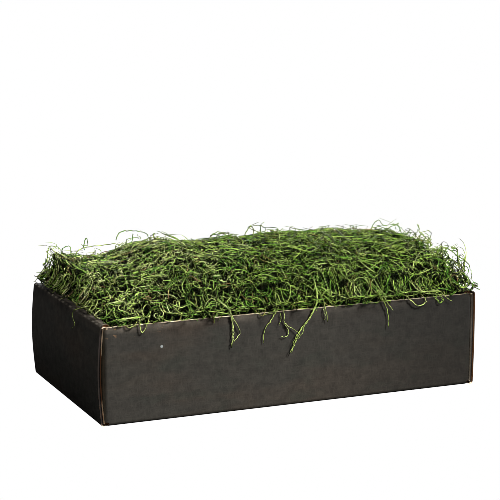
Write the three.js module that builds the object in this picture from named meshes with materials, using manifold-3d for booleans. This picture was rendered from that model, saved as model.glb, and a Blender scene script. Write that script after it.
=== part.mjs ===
// A bunch of Spanish moss heaped in a low tray folded from corrugated cardboard.
// Millimetres, +Z up, +X along the long front wall and +Y towards the back.
// The origin is the centre of the tray's underside.

import * as THREE from 'three';
import { mergeVertices } from 'three/addons/utils/BufferGeometryUtils.js';
import Module from 'manifold-3d';

const wasm = await Module();
wasm.setup();

// Driving sizes of the tray
const TRAY_LENGTH = 300;
const TRAY_WIDTH = 160;
const TRAY_HEIGHT = 73;
const LONG_WALL_HEIGHT = 71;
const BOARD = 2.5;
const GAP = 0.3;
const FOLD_RADIUS = 1.5;
const FOLD_STEPS = 3;
const END_BOW = 2.2;
const BOW_STEPS = 8;
const BOTTOM_OVERLAP = 12;
const FLAP_REACH = 55;
const FLAP_TOP = 69.5;
const FLAP_FOOT = 3;
const TAB_WIDTH = 22;
const TAB_SPACING = 76;
const TAB_FOOT = 0.4;
const SLOT_CLEARANCE = 0.4;

// Driving sizes of the moss
const SEED = 44;
const CROWN_RISE = 36.5;
const CROWN_CENTRE_X = 2.5;
const CROWN_HALF_X = 145;
const CROWN_HALF_Y = 78.5;
const END_SHOULDER = { power: 8, rounding: 0.4 };
const SIDE_SHOULDER = { power: 2.6, rounding: 0.55 };
const RIM_MARGIN = 4;
const CROWN_SWELLS = [
  { x: -106, width: 14, share: -0.14 },
  { x: -70, width: 14, share: 0.14 },
  { x: 30, width: 28, share: 0.07 },
  { x: 108, width: 14, share: -0.05 },
];
const CORNER_DIP = { x: -135, y: -60, spanX: 38, spanY: 50, share: 0.35 };
const PROFILE_STEPS = 160;
const MOSS_CLEARANCE = 0.4;
const TOUCH_MARGIN = 0.05;
const CORE_DEPTH = 7.5;
const CORE_WALL_GAP = 3.2;
const CORE_CELLS = [16, 10, 3];
const CORE_CRUMPLE = 2.2;
const CRUMPLE_PER_MM = { x: 0.29, y: 0.33, crossX: 0.19, crossY: 0.13, crossZ: 0.1, warp: 1.3 };
const CORNER_SQUARENESS = 24;
const STRAND_RADIUS = 2.2;
const STRAND_SIDES = 3;
const STRAND_LENGTHS = [100, 70, 45];
const STRAND_POINTS = 8;
const STRAND_STEP = 13;
const STRAND_SPACING = 4.0;
const HEADING_STRAY = 0.15;
const SWING_A = { turn: 1.1, wave: 36, slant: 90, layerShift: 2 };
const SWING_B = { turn: 0.8, wave: 28, layerShift: -1.7 };
const ROUTE_SAMPLES = 30;
const ROOT_SAMPLES = 2;
const ROOT_STEEPNESS = 2.4;
const CROWN_LAYERS = { levels: [-1.5, 3], rootDepth: 11, tries: 1800 };
const SIDE_LAYERS = { levels: [0], rootDepth: 7, tries: 200 };
const TRAIL_RADIUS = 1.1;
const TRAIL_TIP_SHARE = 0.4;

// Places worked out from the driving sizes
const outerPanelX = (TRAY_LENGTH - BOARD) / 2;
const flapX = outerPanelX - BOARD - GAP;
const innerPanelX = flapX - BOARD - GAP;
const longWallY = (TRAY_WIDTH - BOARD) / 2;
const floorZ = BOARD / 2;
const rollZ = TRAY_HEIGHT - BOARD / 2;
const insideX = innerPanelX - BOARD / 2;
const insideY = longWallY - BOARD / 2;
const panelHalfY = insideY - GAP;
const sideHalfX = insideX - MOSS_CLEARANCE - STRAND_RADIUS;
const sideHalfY = insideY - MOSS_CLEARANCE - STRAND_RADIUS;
const undersideZ = BOARD + MOSS_CLEARANCE + STRAND_RADIUS;

const cardboard = new THREE.MeshStandardMaterial({ color: 0x393630, roughness: 0.85, metalness: 0 });
const mossGreen = new THREE.MeshStandardMaterial({ color: 0x5f7a2c, roughness: 0.7, metalness: 0 });

// Joining and cutting

function toSolid(geometry) {
  const bare = geometry.clone();
  bare.deleteAttribute('normal');
  bare.deleteAttribute('uv');
  const merged = mergeVertices(bare);
  return new wasm.Manifold(new wasm.Mesh({
    numProp: 3,
    vertProperties: merged.attributes.position.array,
    triVerts: new Uint32Array(merged.index.array),
  }));
}

function toGeometry(solid) {
  const mesh = solid.getMesh();
  const geometry = new THREE.BufferGeometry();
  geometry.setAttribute('position', new THREE.BufferAttribute(mesh.vertProperties, 3));
  geometry.setIndex(new THREE.BufferAttribute(mesh.triVerts, 1));
  geometry.computeVertexNormals();
  return geometry;
}

function joined(solids) {
  return solids.reduce((whole, solid) => whole.add(solid));
}

// A plain block between two opposite corners
function block(low, high) {
  const size = new THREE.Vector3().subVectors(high, low);
  const middle = new THREE.Vector3().addVectors(low, high).multiplyScalar(0.5);
  const geometry = new THREE.BoxGeometry(size.x, size.y, size.z);
  geometry.translate(middle.x, middle.y, middle.z);
  return toSolid(geometry);
}

// Folded board

// Centre line of a folded board: straight runs, with a quarter arc at every corner between them.
function foldedLine(corners) {
  const line = [corners[0]];
  for (let i = 1; i < corners.length - 1; i += 1) {
    const runIn = corners[i].clone().sub(corners[i - 1]).normalize();
    const runOut = corners[i + 1].clone().sub(corners[i]).normalize();
    const centre = corners[i].clone();
    centre.addScaledVector(runIn, -FOLD_RADIUS).addScaledVector(runOut, FOLD_RADIUS);
    for (let step = 0; step <= FOLD_STEPS; step += 1) {
      const turn = (Math.PI / 2) * (step / FOLD_STEPS);
      const point = centre.clone();
      point.addScaledVector(runOut, -FOLD_RADIUS * Math.cos(turn));
      point.addScaledVector(runIn, FOLD_RADIUS * Math.sin(turn));
      line.push(point);
    }
  }
  line.push(corners[corners.length - 1]);
  return line;
}

function sideways(from, to) {
  const run = to.clone().sub(from).normalize();
  return new THREE.Vector2(-run.y, run.x);
}

// Outline of a board that keeps its thickness on both sides of a centre line
function boardShape(line) {
  const left = [];
  const right = [];
  line.forEach((point, i) => {
    const before = line[Math.max(i - 1, 0)];
    const after = line[Math.min(i + 1, line.length - 1)];
    const first = i > 0 ? sideways(before, point) : sideways(point, after);
    const second = i < line.length - 1 ? sideways(point, after) : first;
    const mitre = first.clone().add(second).multiplyScalar(BOARD / 2 / (1 + first.dot(second)));
    left.push(point.clone().add(mitre));
    right.unshift(point.clone().sub(mitre));
  });
  return new THREE.Shape([...left, ...right]);
}

function extruded(shape, length) {
  const geometry = new THREE.ExtrudeGeometry(shape, { depth: length, bevelEnabled: false });
  geometry.translate(0, 0, -length / 2);
  return geometry;
}

const point2 = (x, y) => new THREE.Vector2(x, y);
const point3 = (x, y, z) => new THREE.Vector3(x, y, z);

// Bottom and both long walls, one U that runs the length of the tray
function longWalls() {
  const line = foldedLine([
    point2(-longWallY, LONG_WALL_HEIGHT),
    point2(-longWallY, floorZ),
    point2(longWallY, floorZ),
    point2(longWallY, LONG_WALL_HEIGHT),
  ]);
  const geometry = extruded(boardShape(line), 2 * (flapX - BOARD / 2));
  geometry.applyMatrix4(new THREE.Matrix4().makeBasis(point3(0, 1, 0), point3(0, 0, 1), point3(1, 0, 0)));
  return toSolid(geometry);
}

// Both corner flaps of one long wall, turned in behind the end panels
function cornerFlaps(side) {
  const line = foldedLine([
    point2(-flapX, longWallY - FLAP_REACH),
    point2(-flapX, longWallY),
    point2(flapX, longWallY),
    point2(flapX, longWallY - FLAP_REACH),
  ]);
  const geometry = extruded(boardShape(line), FLAP_TOP - FLAP_FOOT);
  geometry.translate(0, 0, (FLAP_TOP + FLAP_FOOT) / 2);
  if (side < 0) {
    geometry.rotateZ(Math.PI);
  }
  return toSolid(geometry);
}

// The end panel's run up from its bottom fold bows outwards before it rolls over.
function endPanelLine() {
  const line = foldedLine([
    point2(innerPanelX - BOTTOM_OVERLAP, floorZ),
    point2(outerPanelX, floorZ),
    point2(outerPanelX, rollZ),
    point2(innerPanelX, rollZ),
    point2(innerPanelX, BOARD + GAP),
  ]);
  const foot = line[FOLD_STEPS + 1];
  const head = line[FOLD_STEPS + 2];
  const bow = [];
  for (let step = 1; step < BOW_STEPS; step += 1) {
    const share = step / BOW_STEPS;
    const point = foot.clone().lerp(head, share);
    point.x += END_BOW * Math.sin(Math.PI * share);
    bow.push(point);
  }
  line.splice(FOLD_STEPS + 2, 0, ...bow);
  return line;
}

// One end: outer panel, rolled top and inner panel, with its corners notched for the long walls
function endPanels(side) {
  const geometry = extruded(boardShape(endPanelLine()), TRAY_WIDTH);
  geometry.rotateX(Math.PI / 2);
  if (side < 0) {
    geometry.rotateZ(Math.PI);
  }
  const notchX = outerPanelX - BOARD / 2 - GAP / 2;
  const notches = [-1, 1].map((end) => {
    const nearX = side * (innerPanelX - 2 * BOTTOM_OVERLAP);
    const farX = side * notchX;
    const nearY = end * panelHalfY;
    const farY = end * TRAY_WIDTH;
    return block(
      point3(Math.min(nearX, farX), Math.min(nearY, farY), -BOARD),
      point3(Math.max(nearX, farX), Math.max(nearY, farY), TRAY_HEIGHT + BOARD),
    );
  });
  return toSolid(geometry).subtract(joined(notches));
}

// Calls a maker for each lock tab's place: two at either end of the tray
function atLockTabs(make) {
  const places = [];
  [-1, 1].forEach((endX) => {
    [-1, 1].forEach((endY) => {
      places.push(make(endX * innerPanelX, (endY * TAB_SPACING) / 2));
    });
  });
  return joined(places);
}

function cartonTray() {
  const slots = atLockTabs((x, y) => block(
    point3(x - BOARD / 2 - SLOT_CLEARANCE, y - TAB_WIDTH / 2 - SLOT_CLEARANCE, -BOARD),
    point3(x + BOARD / 2 + SLOT_CLEARANCE, y + TAB_WIDTH / 2 + SLOT_CLEARANCE, BOARD + GAP / 2),
  ));
  const tabs = atLockTabs((x, y) => block(
    point3(x - BOARD / 2, y - TAB_WIDTH / 2, TAB_FOOT),
    point3(x + BOARD / 2, y + TAB_WIDTH / 2, 2 * BOARD),
  ));
  const walls = joined([longWalls(), cornerFlaps(-1), cornerFlaps(1), endPanels(-1), endPanels(1)]);
  return walls.subtract(slots).add(tabs);
}

// Form of the moss

function seededRandom(seed) {
  let state = seed;
  return () => {
    state = (state + 0x6d2b79f5) | 0;
    let mixed = Math.imul(state ^ (state >>> 15), 1 | state);
    mixed = (mixed + Math.imul(mixed ^ (mixed >>> 7), 61 | mixed)) ^ mixed;
    return ((mixed ^ (mixed >>> 14)) >>> 0) / 4294967296;
  };
}

const random = seededRandom(SEED);
const spread = (low, high) => low + (high - low) * random();

// Height share across the heap, from its middle down to its edge
function shoulder(share, { power, rounding }) {
  return (1 - Math.min(Math.abs(share), 1) ** power) ** rounding;
}

function crownHeight(x, y) {
  const swell = CROWN_SWELLS.reduce(
    (sum, { x: at, width, share }) => sum + share * Math.exp(-(((x - at) / width) ** 2)),
    1,
  );
  const awayX = (x - CORNER_DIP.x) / CORNER_DIP.spanX;
  const awayY = (y - CORNER_DIP.y) / CORNER_DIP.spanY;
  const dip = CORNER_DIP.share * Math.exp(-(awayX ** 2) - awayY ** 2);
  const along = shoulder((x - CROWN_CENTRE_X) / CROWN_HALF_X, END_SHOULDER);
  const across = shoulder(y / CROWN_HALF_Y, SIDE_SHOULDER);
  return TRAY_HEIGHT + CROWN_RISE * along * across * swell * (1 - dip);
}

// A coordinate that runs evenly along the rounded shoulder, so the steep edge gets its share
function evenProfile(half, form) {
  const samples = [{ along: 0, at: 0 }];
  for (let i = 1; i <= PROFILE_STEPS; i += 1) {
    const at = (half * i) / PROFILE_STEPS;
    const last = samples[i - 1];
    const drop = CROWN_RISE * (shoulder(at / half, form) - shoulder(last.at / half, form));
    samples.push({ along: last.along + Math.hypot(at - last.at, drop), at });
  }
  const length = samples[PROFILE_STEPS].along;
  const place = (along) => {
    const reach = Math.min(Math.abs(along), length);
    const next = Math.max(samples.findIndex((sample) => sample.along >= reach), 1);
    const share = (reach - samples[next - 1].along) / (samples[next].along - samples[next - 1].along);
    return Math.sign(along) * THREE.MathUtils.lerp(samples[next - 1].at, samples[next].at, share);
  };
  return { length, place };
}

const profileX = evenProfile(CROWN_HALF_X, END_SHOULDER);
const profileY = evenProfile(CROWN_HALF_Y, SIDE_SHOULDER);

// The heap's top as a face: point and outward direction at any place along its two profiles
function crownFace() {
  const at = (a, b) => {
    const x = CROWN_CENTRE_X + profileX.place(a);
    const y = profileY.place(b);
    return point3(x, y, crownHeight(x, y));
  };
  return {
    halfA: profileX.length - RIM_MARGIN,
    halfB: profileY.length - RIM_MARGIN,
    at,
    outward: (a, b) => {
      const alongA = at(a + 1, b).sub(at(a - 1, b));
      const alongB = at(a, b + 1).sub(at(a, b - 1));
      return alongA.cross(alongB).normalize();
    },
  };
}

// A flat side or underside of the bunch, between its own two directions
function flatFace(middle, alongA, alongB, halfA, halfB) {
  const outward = new THREE.Vector3().crossVectors(alongA, alongB);
  return {
    halfA,
    halfB,
    at: (a, b) => middle.clone().addScaledVector(alongA, a).addScaledVector(alongB, b),
    outward: () => outward,
  };
}

// Solids of the moss

function strandShape(radius) {
  const corners = [];
  for (let i = 0; i < STRAND_SIDES; i += 1) {
    const angle = (2 * Math.PI * i) / STRAND_SIDES;
    corners.push(point2(radius * Math.cos(angle), radius * Math.sin(angle)));
  }
  return new THREE.Shape(corners);
}

// A strand along its points, thinned to a share of its radius at the tip
function strand(points, radius, steps, tipShare) {
  const curve = new THREE.CatmullRomCurve3(points);
  const geometry = new THREE.ExtrudeGeometry(strandShape(radius), { steps, extrudePath: curve });
  const rings = curve.getSpacedPoints(steps);
  const corners = geometry.attributes.position;
  for (let i = 0; i < corners.count; i += 1) {
    const corner = new THREE.Vector3().fromBufferAttribute(corners, i);
    const distances = rings.map((ring) => ring.distanceTo(corner));
    const nearest = distances.indexOf(Math.min(...distances));
    const share = nearest / steps;
    const thin = 1 - (1 - tipShare) * share * share;
    corner.lerpVectors(rings[nearest], corner, thin);
    corners.setXYZ(i, corner.x, corner.y, corner.z);
  }
  return toSolid(geometry);
}

// Direction in which the strands of one layer run at a place on a face: neighbours swing together
// in curls, and cross those of the other layers.
function layerHeading(a, b, layer, layers) {
  const swingA = SWING_A.turn * Math.sin(a / SWING_A.wave + b / SWING_A.slant + SWING_A.layerShift * layer);
  const swingB = SWING_B.turn * Math.sin(b / SWING_B.wave + SWING_B.layerShift * layer);
  return (Math.PI * layer) / layers + swingA + swingB;
}

// Points of a strand that follows its layer over a face, with both ends sunk into the core
function strandRoute(face, { levels, rootDepth }, length) {
  const layer = Math.floor(spread(0, levels.length));
  const stray = spread(-HEADING_STRAY, HEADING_STRAY);
  const step = length / (STRAND_POINTS - 1);
  const points = [];
  let a = spread(-face.halfA, face.halfA);
  let b = spread(-face.halfB, face.halfB);
  for (let i = 0; i < STRAND_POINTS; i += 1) {
    const rise = Math.min(1, ROOT_STEEPNESS * Math.sin((Math.PI * i) / (STRAND_POINTS - 1)));
    const depth = THREE.MathUtils.lerp(rootDepth, levels[layer], rise);
    points.push(face.at(a, b).addScaledVector(face.outward(a, b), -depth));
    const heading = layerHeading(a, b, layer, levels.length) + stray;
    a = THREE.MathUtils.clamp(a + step * Math.cos(heading), -face.halfA, face.halfA);
    b = THREE.MathUtils.clamp(b + step * Math.sin(heading), -face.halfB, face.halfB);
  }
  return points;
}

// True where a point of a strand keeps its clearance from the tray's walls and bottom.
function clearOfBoard(point) {
  const around = STRAND_RADIUS + MOSS_CLEARANCE - TOUCH_MARGIN;
  const under = point.z - around;
  const reachX = Math.abs(point.x) + around;
  const reachY = Math.abs(point.y) + around;
  const clearX = reachX < insideX || under > TRAY_HEIGHT;
  const clearY = reachY < insideY || under > LONG_WALL_HEIGHT;
  return clearX && clearY && under > BOARD;
}

// Tries strands at random places of a face, and keeps each one that crosses none kept before it.
function strandsOver(face, layers, kept) {
  const strands = [];
  STRAND_LENGTHS.forEach((length) => {
    for (let attempt = 0; attempt < layers.tries; attempt += 1) {
      const route = strandRoute(face, layers, length);
      const whole = new THREE.CatmullRomCurve3(route).getPoints(ROUTE_SAMPLES);
      const samples = whole.slice(ROOT_SAMPLES, -ROOT_SAMPLES);
      const free = samples.every((sample) => clearOfBoard(sample)
        && kept.every((other) => other.distanceToSquared(sample) > STRAND_SPACING ** 2));
      if (free) {
        kept.push(...samples);
        strands.push(strand(route, STRAND_RADIUS, Math.round(length / STRAND_STEP), 1));
      }
    }
  });
  return strands;
}

// Crossing, warped waves, from -1 to 1
function crumpleShare(x, y, z) {
  const { x: alongX, y: alongY, crossX, crossY, crossZ, warp } = CRUMPLE_PER_MM;
  const wave = Math.sin(alongX * x + warp * Math.sin(crossY * y + crossZ * z));
  const ripple = Math.sin(alongY * y + warp * Math.sin(crossX * x - crossZ * z));
  return (wave + ripple) / 2;
}

// Crumpled body of tangled stems that fills the tray and that the strands grow out of
function mossCore() {
  const geometry = new THREE.BoxGeometry(2, 2, 2, ...CORE_CELLS);
  const corners = geometry.attributes.position;
  const halfX = insideX - CORE_WALL_GAP;
  const halfY = insideY - CORE_WALL_GAP;
  for (let i = 0; i < corners.count; i += 1) {
    const u = Math.sin((Math.PI / 2) * corners.getX(i));
    const v = Math.sin((Math.PI / 2) * corners.getY(i));
    const level = (corners.getZ(i) + 1) / 2;
    const reach = Math.max(Math.abs(u), Math.abs(v));
    const squared = Math.abs(u) ** CORNER_SQUARENESS + Math.abs(v) ** CORNER_SQUARENESS;
    const rounding = reach > 0 ? reach / squared ** (1 / CORNER_SQUARENESS) : 1;
    const x = u * rounding * halfX;
    const y = v * rounding * halfY;
    const top = crownHeight(CROWN_CENTRE_X + u * CROWN_HALF_X, v * CROWN_HALF_Y) - CORE_DEPTH;
    const z = THREE.MathUtils.lerp(BOARD + CORE_WALL_GAP, top, level);
    const crumple = CORE_CRUMPLE * crumpleShare(x, y, z);
    corners.setXYZ(i, x + (crumple * x) / halfX, y + (crumple * y) / halfY, z + crumple * level);
  }
  return toSolid(geometry);
}

// Sprigs that trail over the rim: a root in the heap, then points down the wall's face.
const TRAILS = [
  [[-63, -52, 84], [-59.4, -79, 80], [-52.1, -82.4, 70], [-50.5, -82.2, 60], [-51.3, -82.6, 49.5]],
  [[-50, -52, 84], [-50.5, -79, 78.5], [-48.2, -82.6, 69], [-45.6, -82.4, 59], [-51.0, -82.6, 50.5]],
  [[-6, -52, 84], [-14.5, -79, 78], [-21.1, -82.4, 66], [-26.1, -82.2, 58], [-26.7, -82.6, 49.4]],
  [[-12, -52, 84], [-10.5, -79, 77.5], [-10.0, -82.4, 66], [-6.9, -82.4, 57], [-8.4, -82.6, 52.6]],
  [[21, -52, 86], [16.5, -79, 81], [14.0, -82.4, 70], [3.4, -82.2, 57], [-5.4, -82.8, 39.7]],
  [[16, -52, 86], [20.8, -79, 79.5], [22.7, -82.4, 70], [24.3, -82.6, 60.5]],
  [[61, -52, 86], [67.5, -79, 79], [72.4, -82.4, 68], [74.7, -82.4, 61], [74.9, -82.8, 51.7]],
  [[66, -52, 86], [70.5, -79, 77.5], [74.5, -82.4, 69], [78.6, -82.6, 64]],
  [[85, -52, 84], [91.0, -79, 77], [99.7, -82.4, 67.5], [104.5, -81.5, 73], [102, -54, 84]],
  [[-124, -52, 84], [-121.5, -79, 77.5], [-119.0, -82.4, 66.5], [-114.8, -80.5, 76], [-108, -54, 84]],
  [[-118, -46, 84], [-145, -43, 79], [-154.2, -33, 73], [-154.4, -35, 65.5], [-154.8, -27, 59.2]],
];

function trailingSprigs() {
  return TRAILS.map((trail) => {
    const points = trail.map(([x, y, z]) => point3(x, y, z));
    return strand(points, TRAIL_RADIUS, 2 * trail.length, TRAIL_TIP_SHARE);
  });
}

function mossBunch() {
  const middleZ = (TRAY_HEIGHT + undersideZ) / 2;
  const halfZ = (TRAY_HEIGHT - undersideZ) / 2;
  const right = point3(1, 0, 0);
  const left = point3(-1, 0, 0);
  const back = point3(0, 1, 0);
  const front = point3(0, -1, 0);
  const up = point3(0, 0, 1);
  const kept = [];
  const strands = [
    ...strandsOver(crownFace(), CROWN_LAYERS, kept),
    ...strandsOver(flatFace(point3(0, -sideHalfY, middleZ), right, up, sideHalfX, halfZ), SIDE_LAYERS, kept),
    ...strandsOver(flatFace(point3(0, sideHalfY, middleZ), left, up, sideHalfX, halfZ), SIDE_LAYERS, kept),
    ...strandsOver(flatFace(point3(sideHalfX, 0, middleZ), back, up, sideHalfY, halfZ), SIDE_LAYERS, kept),
    ...strandsOver(flatFace(point3(-sideHalfX, 0, middleZ), front, up, sideHalfY, halfZ), SIDE_LAYERS, kept),
    ...strandsOver(flatFace(point3(0, 0, undersideZ), back, right, sideHalfY, sideHalfX), SIDE_LAYERS, kept),
  ];
  return joined([mossCore(), ...strands, ...trailingSprigs()]);
}

// Largest body of a solid: what a wall has pinched off is left out
function largestBody(solid) {
  const bodies = solid.decompose();
  return bodies.reduce((best, body) => (body.volume() > best.volume() ? body : best));
}

function named(name, solid, material) {
  const mesh = new THREE.Mesh(toGeometry(solid), material);
  mesh.name = name;
  return mesh;
}

const part = new THREE.Group();
part.add(named('carton_tray', cartonTray(), cardboard));
part.add(named('moss_bunch', largestBody(mossBunch()), mossGreen));

export default part;
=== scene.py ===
"""Looks of a bunch of Spanish moss heaped in a low tray of printed corrugated board.

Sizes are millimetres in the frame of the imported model: +Z up, +X along the long front wall to
the right, +Y towards the back, and the origin at the centre of the tray's underside. A finished
mesh is scaled to metres.
"""

import logging
import math
from dataclasses import dataclass, field
from enum import Enum
from functools import reduce
from typing import Any, Callable, Iterable, Optional, Sequence

import bmesh
import bpy
import numpy as np
from mathutils import Matrix, Vector


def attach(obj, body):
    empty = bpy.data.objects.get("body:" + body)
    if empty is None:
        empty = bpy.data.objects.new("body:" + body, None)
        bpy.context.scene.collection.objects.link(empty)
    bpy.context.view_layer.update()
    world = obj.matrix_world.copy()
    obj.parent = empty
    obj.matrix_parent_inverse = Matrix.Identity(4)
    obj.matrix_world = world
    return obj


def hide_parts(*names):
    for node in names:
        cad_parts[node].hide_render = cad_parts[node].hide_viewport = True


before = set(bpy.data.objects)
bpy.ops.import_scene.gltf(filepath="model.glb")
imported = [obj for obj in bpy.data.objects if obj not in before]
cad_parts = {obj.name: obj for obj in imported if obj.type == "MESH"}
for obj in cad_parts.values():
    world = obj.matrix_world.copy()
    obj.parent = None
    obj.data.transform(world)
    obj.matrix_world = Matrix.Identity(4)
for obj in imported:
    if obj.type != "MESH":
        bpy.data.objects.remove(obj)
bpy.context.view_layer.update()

log = logging.getLogger("moss_tray")

MM = 0.001
BODY = "root"
TRAY_NODE = "carton_tray"
MOSS_NODE = "moss_bunch"
SEED = 20
NOISE_MIDDLE = 0.5

Colour = tuple[float, float, float]
Point = tuple[float, float, float]
Span = tuple[float, float]
Socket = bpy.types.NodeSocket
Edges = list[bmesh.types.BMEdge]
PlaceTest = Callable[[Vector], bool]


def linear(red: int, green: int, blue: int) -> Colour:
    """Turns a display colour into the linear colour that a shader takes."""
    shares = (channel / 255 for channel in (red, green, blue))
    return tuple(s / 12.92 if s <= 0.04045 else ((s + 0.055) / 1.055) ** 2.4 for s in shares)


def unit(vectors: np.ndarray) -> np.ndarray:
    """Vectors at length 1."""
    return vectors / np.maximum(np.linalg.norm(vectors, axis=-1, keepdims=True), 1e-9)


class Slot(Enum):
    """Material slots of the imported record."""

    CARDBOARD = "cardboard"
    MOSS = "moss"


# Shader building


class ShaderGraph:
    """Adds nodes to a material's or a group's tree and links them."""

    def __init__(self, tree: bpy.types.NodeTree) -> None:
        """Keeps the tree that nodes are added to."""
        self.tree = tree

    def feed(self, node: bpy.types.Node, sockets: dict) -> None:
        """Sets or links a node's input sockets.

        Args:
            node: The node.
            sockets: Values, or outputs to link, by the input's name or number.
        """
        for key, value in sockets.items():
            if isinstance(value, Socket):
                self.tree.links.new(value, node.inputs[key])
            else:
                node.inputs[key].default_value = value

    def add(self, kind: str, sockets: Optional[dict] = None, **settings: Any) -> bpy.types.Node:
        """Adds one node.

        Args:
            kind: The node's type name.
            sockets: Its input sockets, as feed takes them.
            settings: The node's own settings.

        Returns:
            The new node.
        """
        node = self.tree.nodes.new(kind)
        for name, value in settings.items():
            setattr(node, name, value)
        self.feed(node, sockets or {})
        return node

    def noise(self, vector: Socket, scale: Any, detail: float = 3.0, roughness: float = 0.6) -> Socket:
        """Adds a noise texture."""
        sockets = {"Vector": vector, "Scale": scale, "Detail": detail, "Roughness": roughness}
        return self.add("ShaderNodeTexNoise", sockets).outputs["Fac"]

    def math(self, operation: str, first: Any, second: Any = 0.0, third: Any = 0.0,
             clamp: bool = False) -> Socket:
        """Adds a math node."""
        sockets = {0: first, 1: second, 2: third}
        return self.add("ShaderNodeMath", sockets, operation=operation, use_clamp=clamp).outputs[0]

    def times(self, first: Any, *others: Any) -> Socket:
        """Multiplies numbers and sockets."""
        return reduce(lambda product, other: self.math("MULTIPLY", product, other), others, first)

    def remap(self, value: Any, span: tuple, result: Span = (0.0, 1.0)) -> Socket:
        """Maps a range of a value smoothly and clamped onto another range.

        Args:
            value: The value.
            span: Where the range starts and ends.
            result: The results at its start and its end.

        Returns:
            The mapped value.
        """
        sockets = {"Value": value, "From Min": span[0], "From Max": span[1], "To Min": result[0],
                   "To Max": result[1]}
        return self.add("ShaderNodeMapRange", sockets, interpolation_type="SMOOTHSTEP").outputs["Result"]

    def remap_mm(self, distance: Socket, span: Span, result: Span = (0.0, 1.0)) -> Socket:
        """Maps a range of a distance as remap does, with the range in millimetres."""
        return self.remap(distance, (span[0] * MM, span[1] * MM), result)

    def mix(self, share: Any, first: Any, second: Any, blend: str = "MIX") -> Socket:
        """Mixes two colours.

        Args:
            share: Share of the second colour.
            first: First colour, or a socket.
            second: Second colour, or a socket.
            blend: How the two are mixed.

        Returns:
            The mixed colour.
        """
        node = self.add("ShaderNodeMix", data_type="RGBA", blend_type=blend, clamp_factor=True)
        colours = [(*value, 1.0) if isinstance(value, tuple) else value for value in (first, second)]
        self.feed(node, {0: share, 6: colours[0], 7: colours[1]})
        return node.outputs[2]

    def dimmed(self, colour: Socket, factor: Socket) -> Socket:
        """Multiplies a colour by a number."""
        grey = self.add("ShaderNodeCombineColor", {0: factor, 1: factor, 2: factor}).outputs[0]
        return self.mix(1.0, colour, grey, "MULTIPLY")

    def attribute(self, name: str) -> Socket:
        """Reads a value that the mesh keeps at its points."""
        return self.add("ShaderNodeAttribute", attribute_name=name).outputs["Fac"]

    def object_place(self) -> Socket:
        """Reads the place on the object, in metres."""
        return self.add("ShaderNodeTexCoord").outputs["Object"]

    def split(self, vector: Socket) -> tuple[Socket, ...]:
        """Splits a vector by its axes."""
        return tuple(self.add("ShaderNodeSeparateXYZ", {0: vector}).outputs)

    def stretched(self, vector: Socket, scale: Point) -> Socket:
        """Scales a vector by its axes."""
        return self.add("ShaderNodeMapping", {"Vector": vector, "Scale": scale}).outputs["Vector"]

    def ramp(self, value: Socket, stops: Sequence[tuple[float, Colour]]) -> Socket:
        """Colours a value by a ramp.

        Args:
            value: The value, 0 to 1.
            stops: Places and colours along the ramp.

        Returns:
            The colour.
        """
        node = self.add("ShaderNodeValToRGB", {"Fac": value})
        elements = node.color_ramp.elements
        while len(elements) < len(stops):
            elements.new(0.5)
        for element, (place, colour) in zip(elements, stops):
            element.position = place
            element.color = (*colour, 1.0)
        return node.outputs["Color"]

    def bump(self, height: Socket, depth: float, strength: float) -> Socket:
        """Adds a bump."""
        sockets = {"Height": height, "Distance": depth * MM, "Strength": strength}
        return self.add("ShaderNodeBump", sockets).outputs["Normal"]


def new_group(name: str, inputs: Sequence[str],
              outputs: Sequence[str]) -> tuple[ShaderGraph, Any, bpy.types.Node]:
    """Starts a shader node group that reads a vector.

    Args:
        name: The group's name.
        inputs: Names of the numbers that it takes as well.
        outputs: Names of the numbers that it gives.

    Returns:
        The graph to build in, the outputs of its input node, and its output node.
    """
    tree = bpy.data.node_groups.new(name, "ShaderNodeTree")
    tree.interface.new_socket(name="Vector", in_out="INPUT", socket_type="NodeSocketVector")
    for names, side in ((inputs, "INPUT"), (outputs, "OUTPUT")):
        for socket in names:
            tree.interface.new_socket(name=socket, in_out=side, socket_type="NodeSocketFloat")
    graph = ShaderGraph(tree)
    return graph, graph.add("NodeGroupInput").outputs, graph.add("NodeGroupOutput")


class SharedEffects:
    """Shader node groups that several finishes use."""

    def __init__(self) -> None:
        """Builds every group once."""
        self._patches_tree = self._new_patches()
        self._paper_tree = self._new_paper()

    @staticmethod
    def _new_patches() -> bpy.types.NodeTree:
        """Makes soft patches of a chosen size, as a mask between two noise levels.

        Returns:
            The group's tree.
        """
        graph, given, end = new_group("soft_patches", ("Scale", "Low", "High"), ("Mask",))
        noise = graph.noise(given["Vector"], given["Scale"], roughness=0.5)
        graph.feed(end, {"Mask": graph.remap(noise, (given["Low"], given["High"]))})
        return graph.tree

    @staticmethod
    def _new_paper() -> bpy.types.NodeTree:
        """Makes paper fibres and formation clouds, as a tone and a height.

        Returns:
            The group's tree.
        """
        graph, given, end = new_group("paper_fibres", (), ("Tone", "Height"))
        vector = given["Vector"]
        cloud = graph.noise(vector, 180.0, 4.0)
        directions = ((160.0, 700.0, 900.0), (900.0, 160.0, 220.0))
        fibres = [graph.noise(graph.stretched(vector, stretch), 1.0, 2.0) for stretch in directions]
        fibres = graph.math("MAXIMUM", *fibres)
        tone = graph.math("ADD", graph.times(cloud, 0.5), graph.times(fibres, 0.5))
        graph.feed(end, {"Tone": tone, "Height": fibres})
        return graph.tree

    def patches(self, graph: ShaderGraph, vector: Socket, scale: float, span: Span) -> Socket:
        """Puts the soft patches into a finish."""
        sockets = {"Vector": vector, "Scale": scale, "Low": span[0], "High": span[1]}
        return graph.add("ShaderNodeGroup", sockets, node_tree=self._patches_tree).outputs["Mask"]

    def paper(self, graph: ShaderGraph, place: Socket) -> tuple[Socket, Socket]:
        """Puts the paper fibres into a finish."""
        outputs = graph.add("ShaderNodeGroup", {"Vector": place}, node_tree=self._paper_tree).outputs
        return outputs["Tone"], outputs["Height"]


# Finishes


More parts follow.
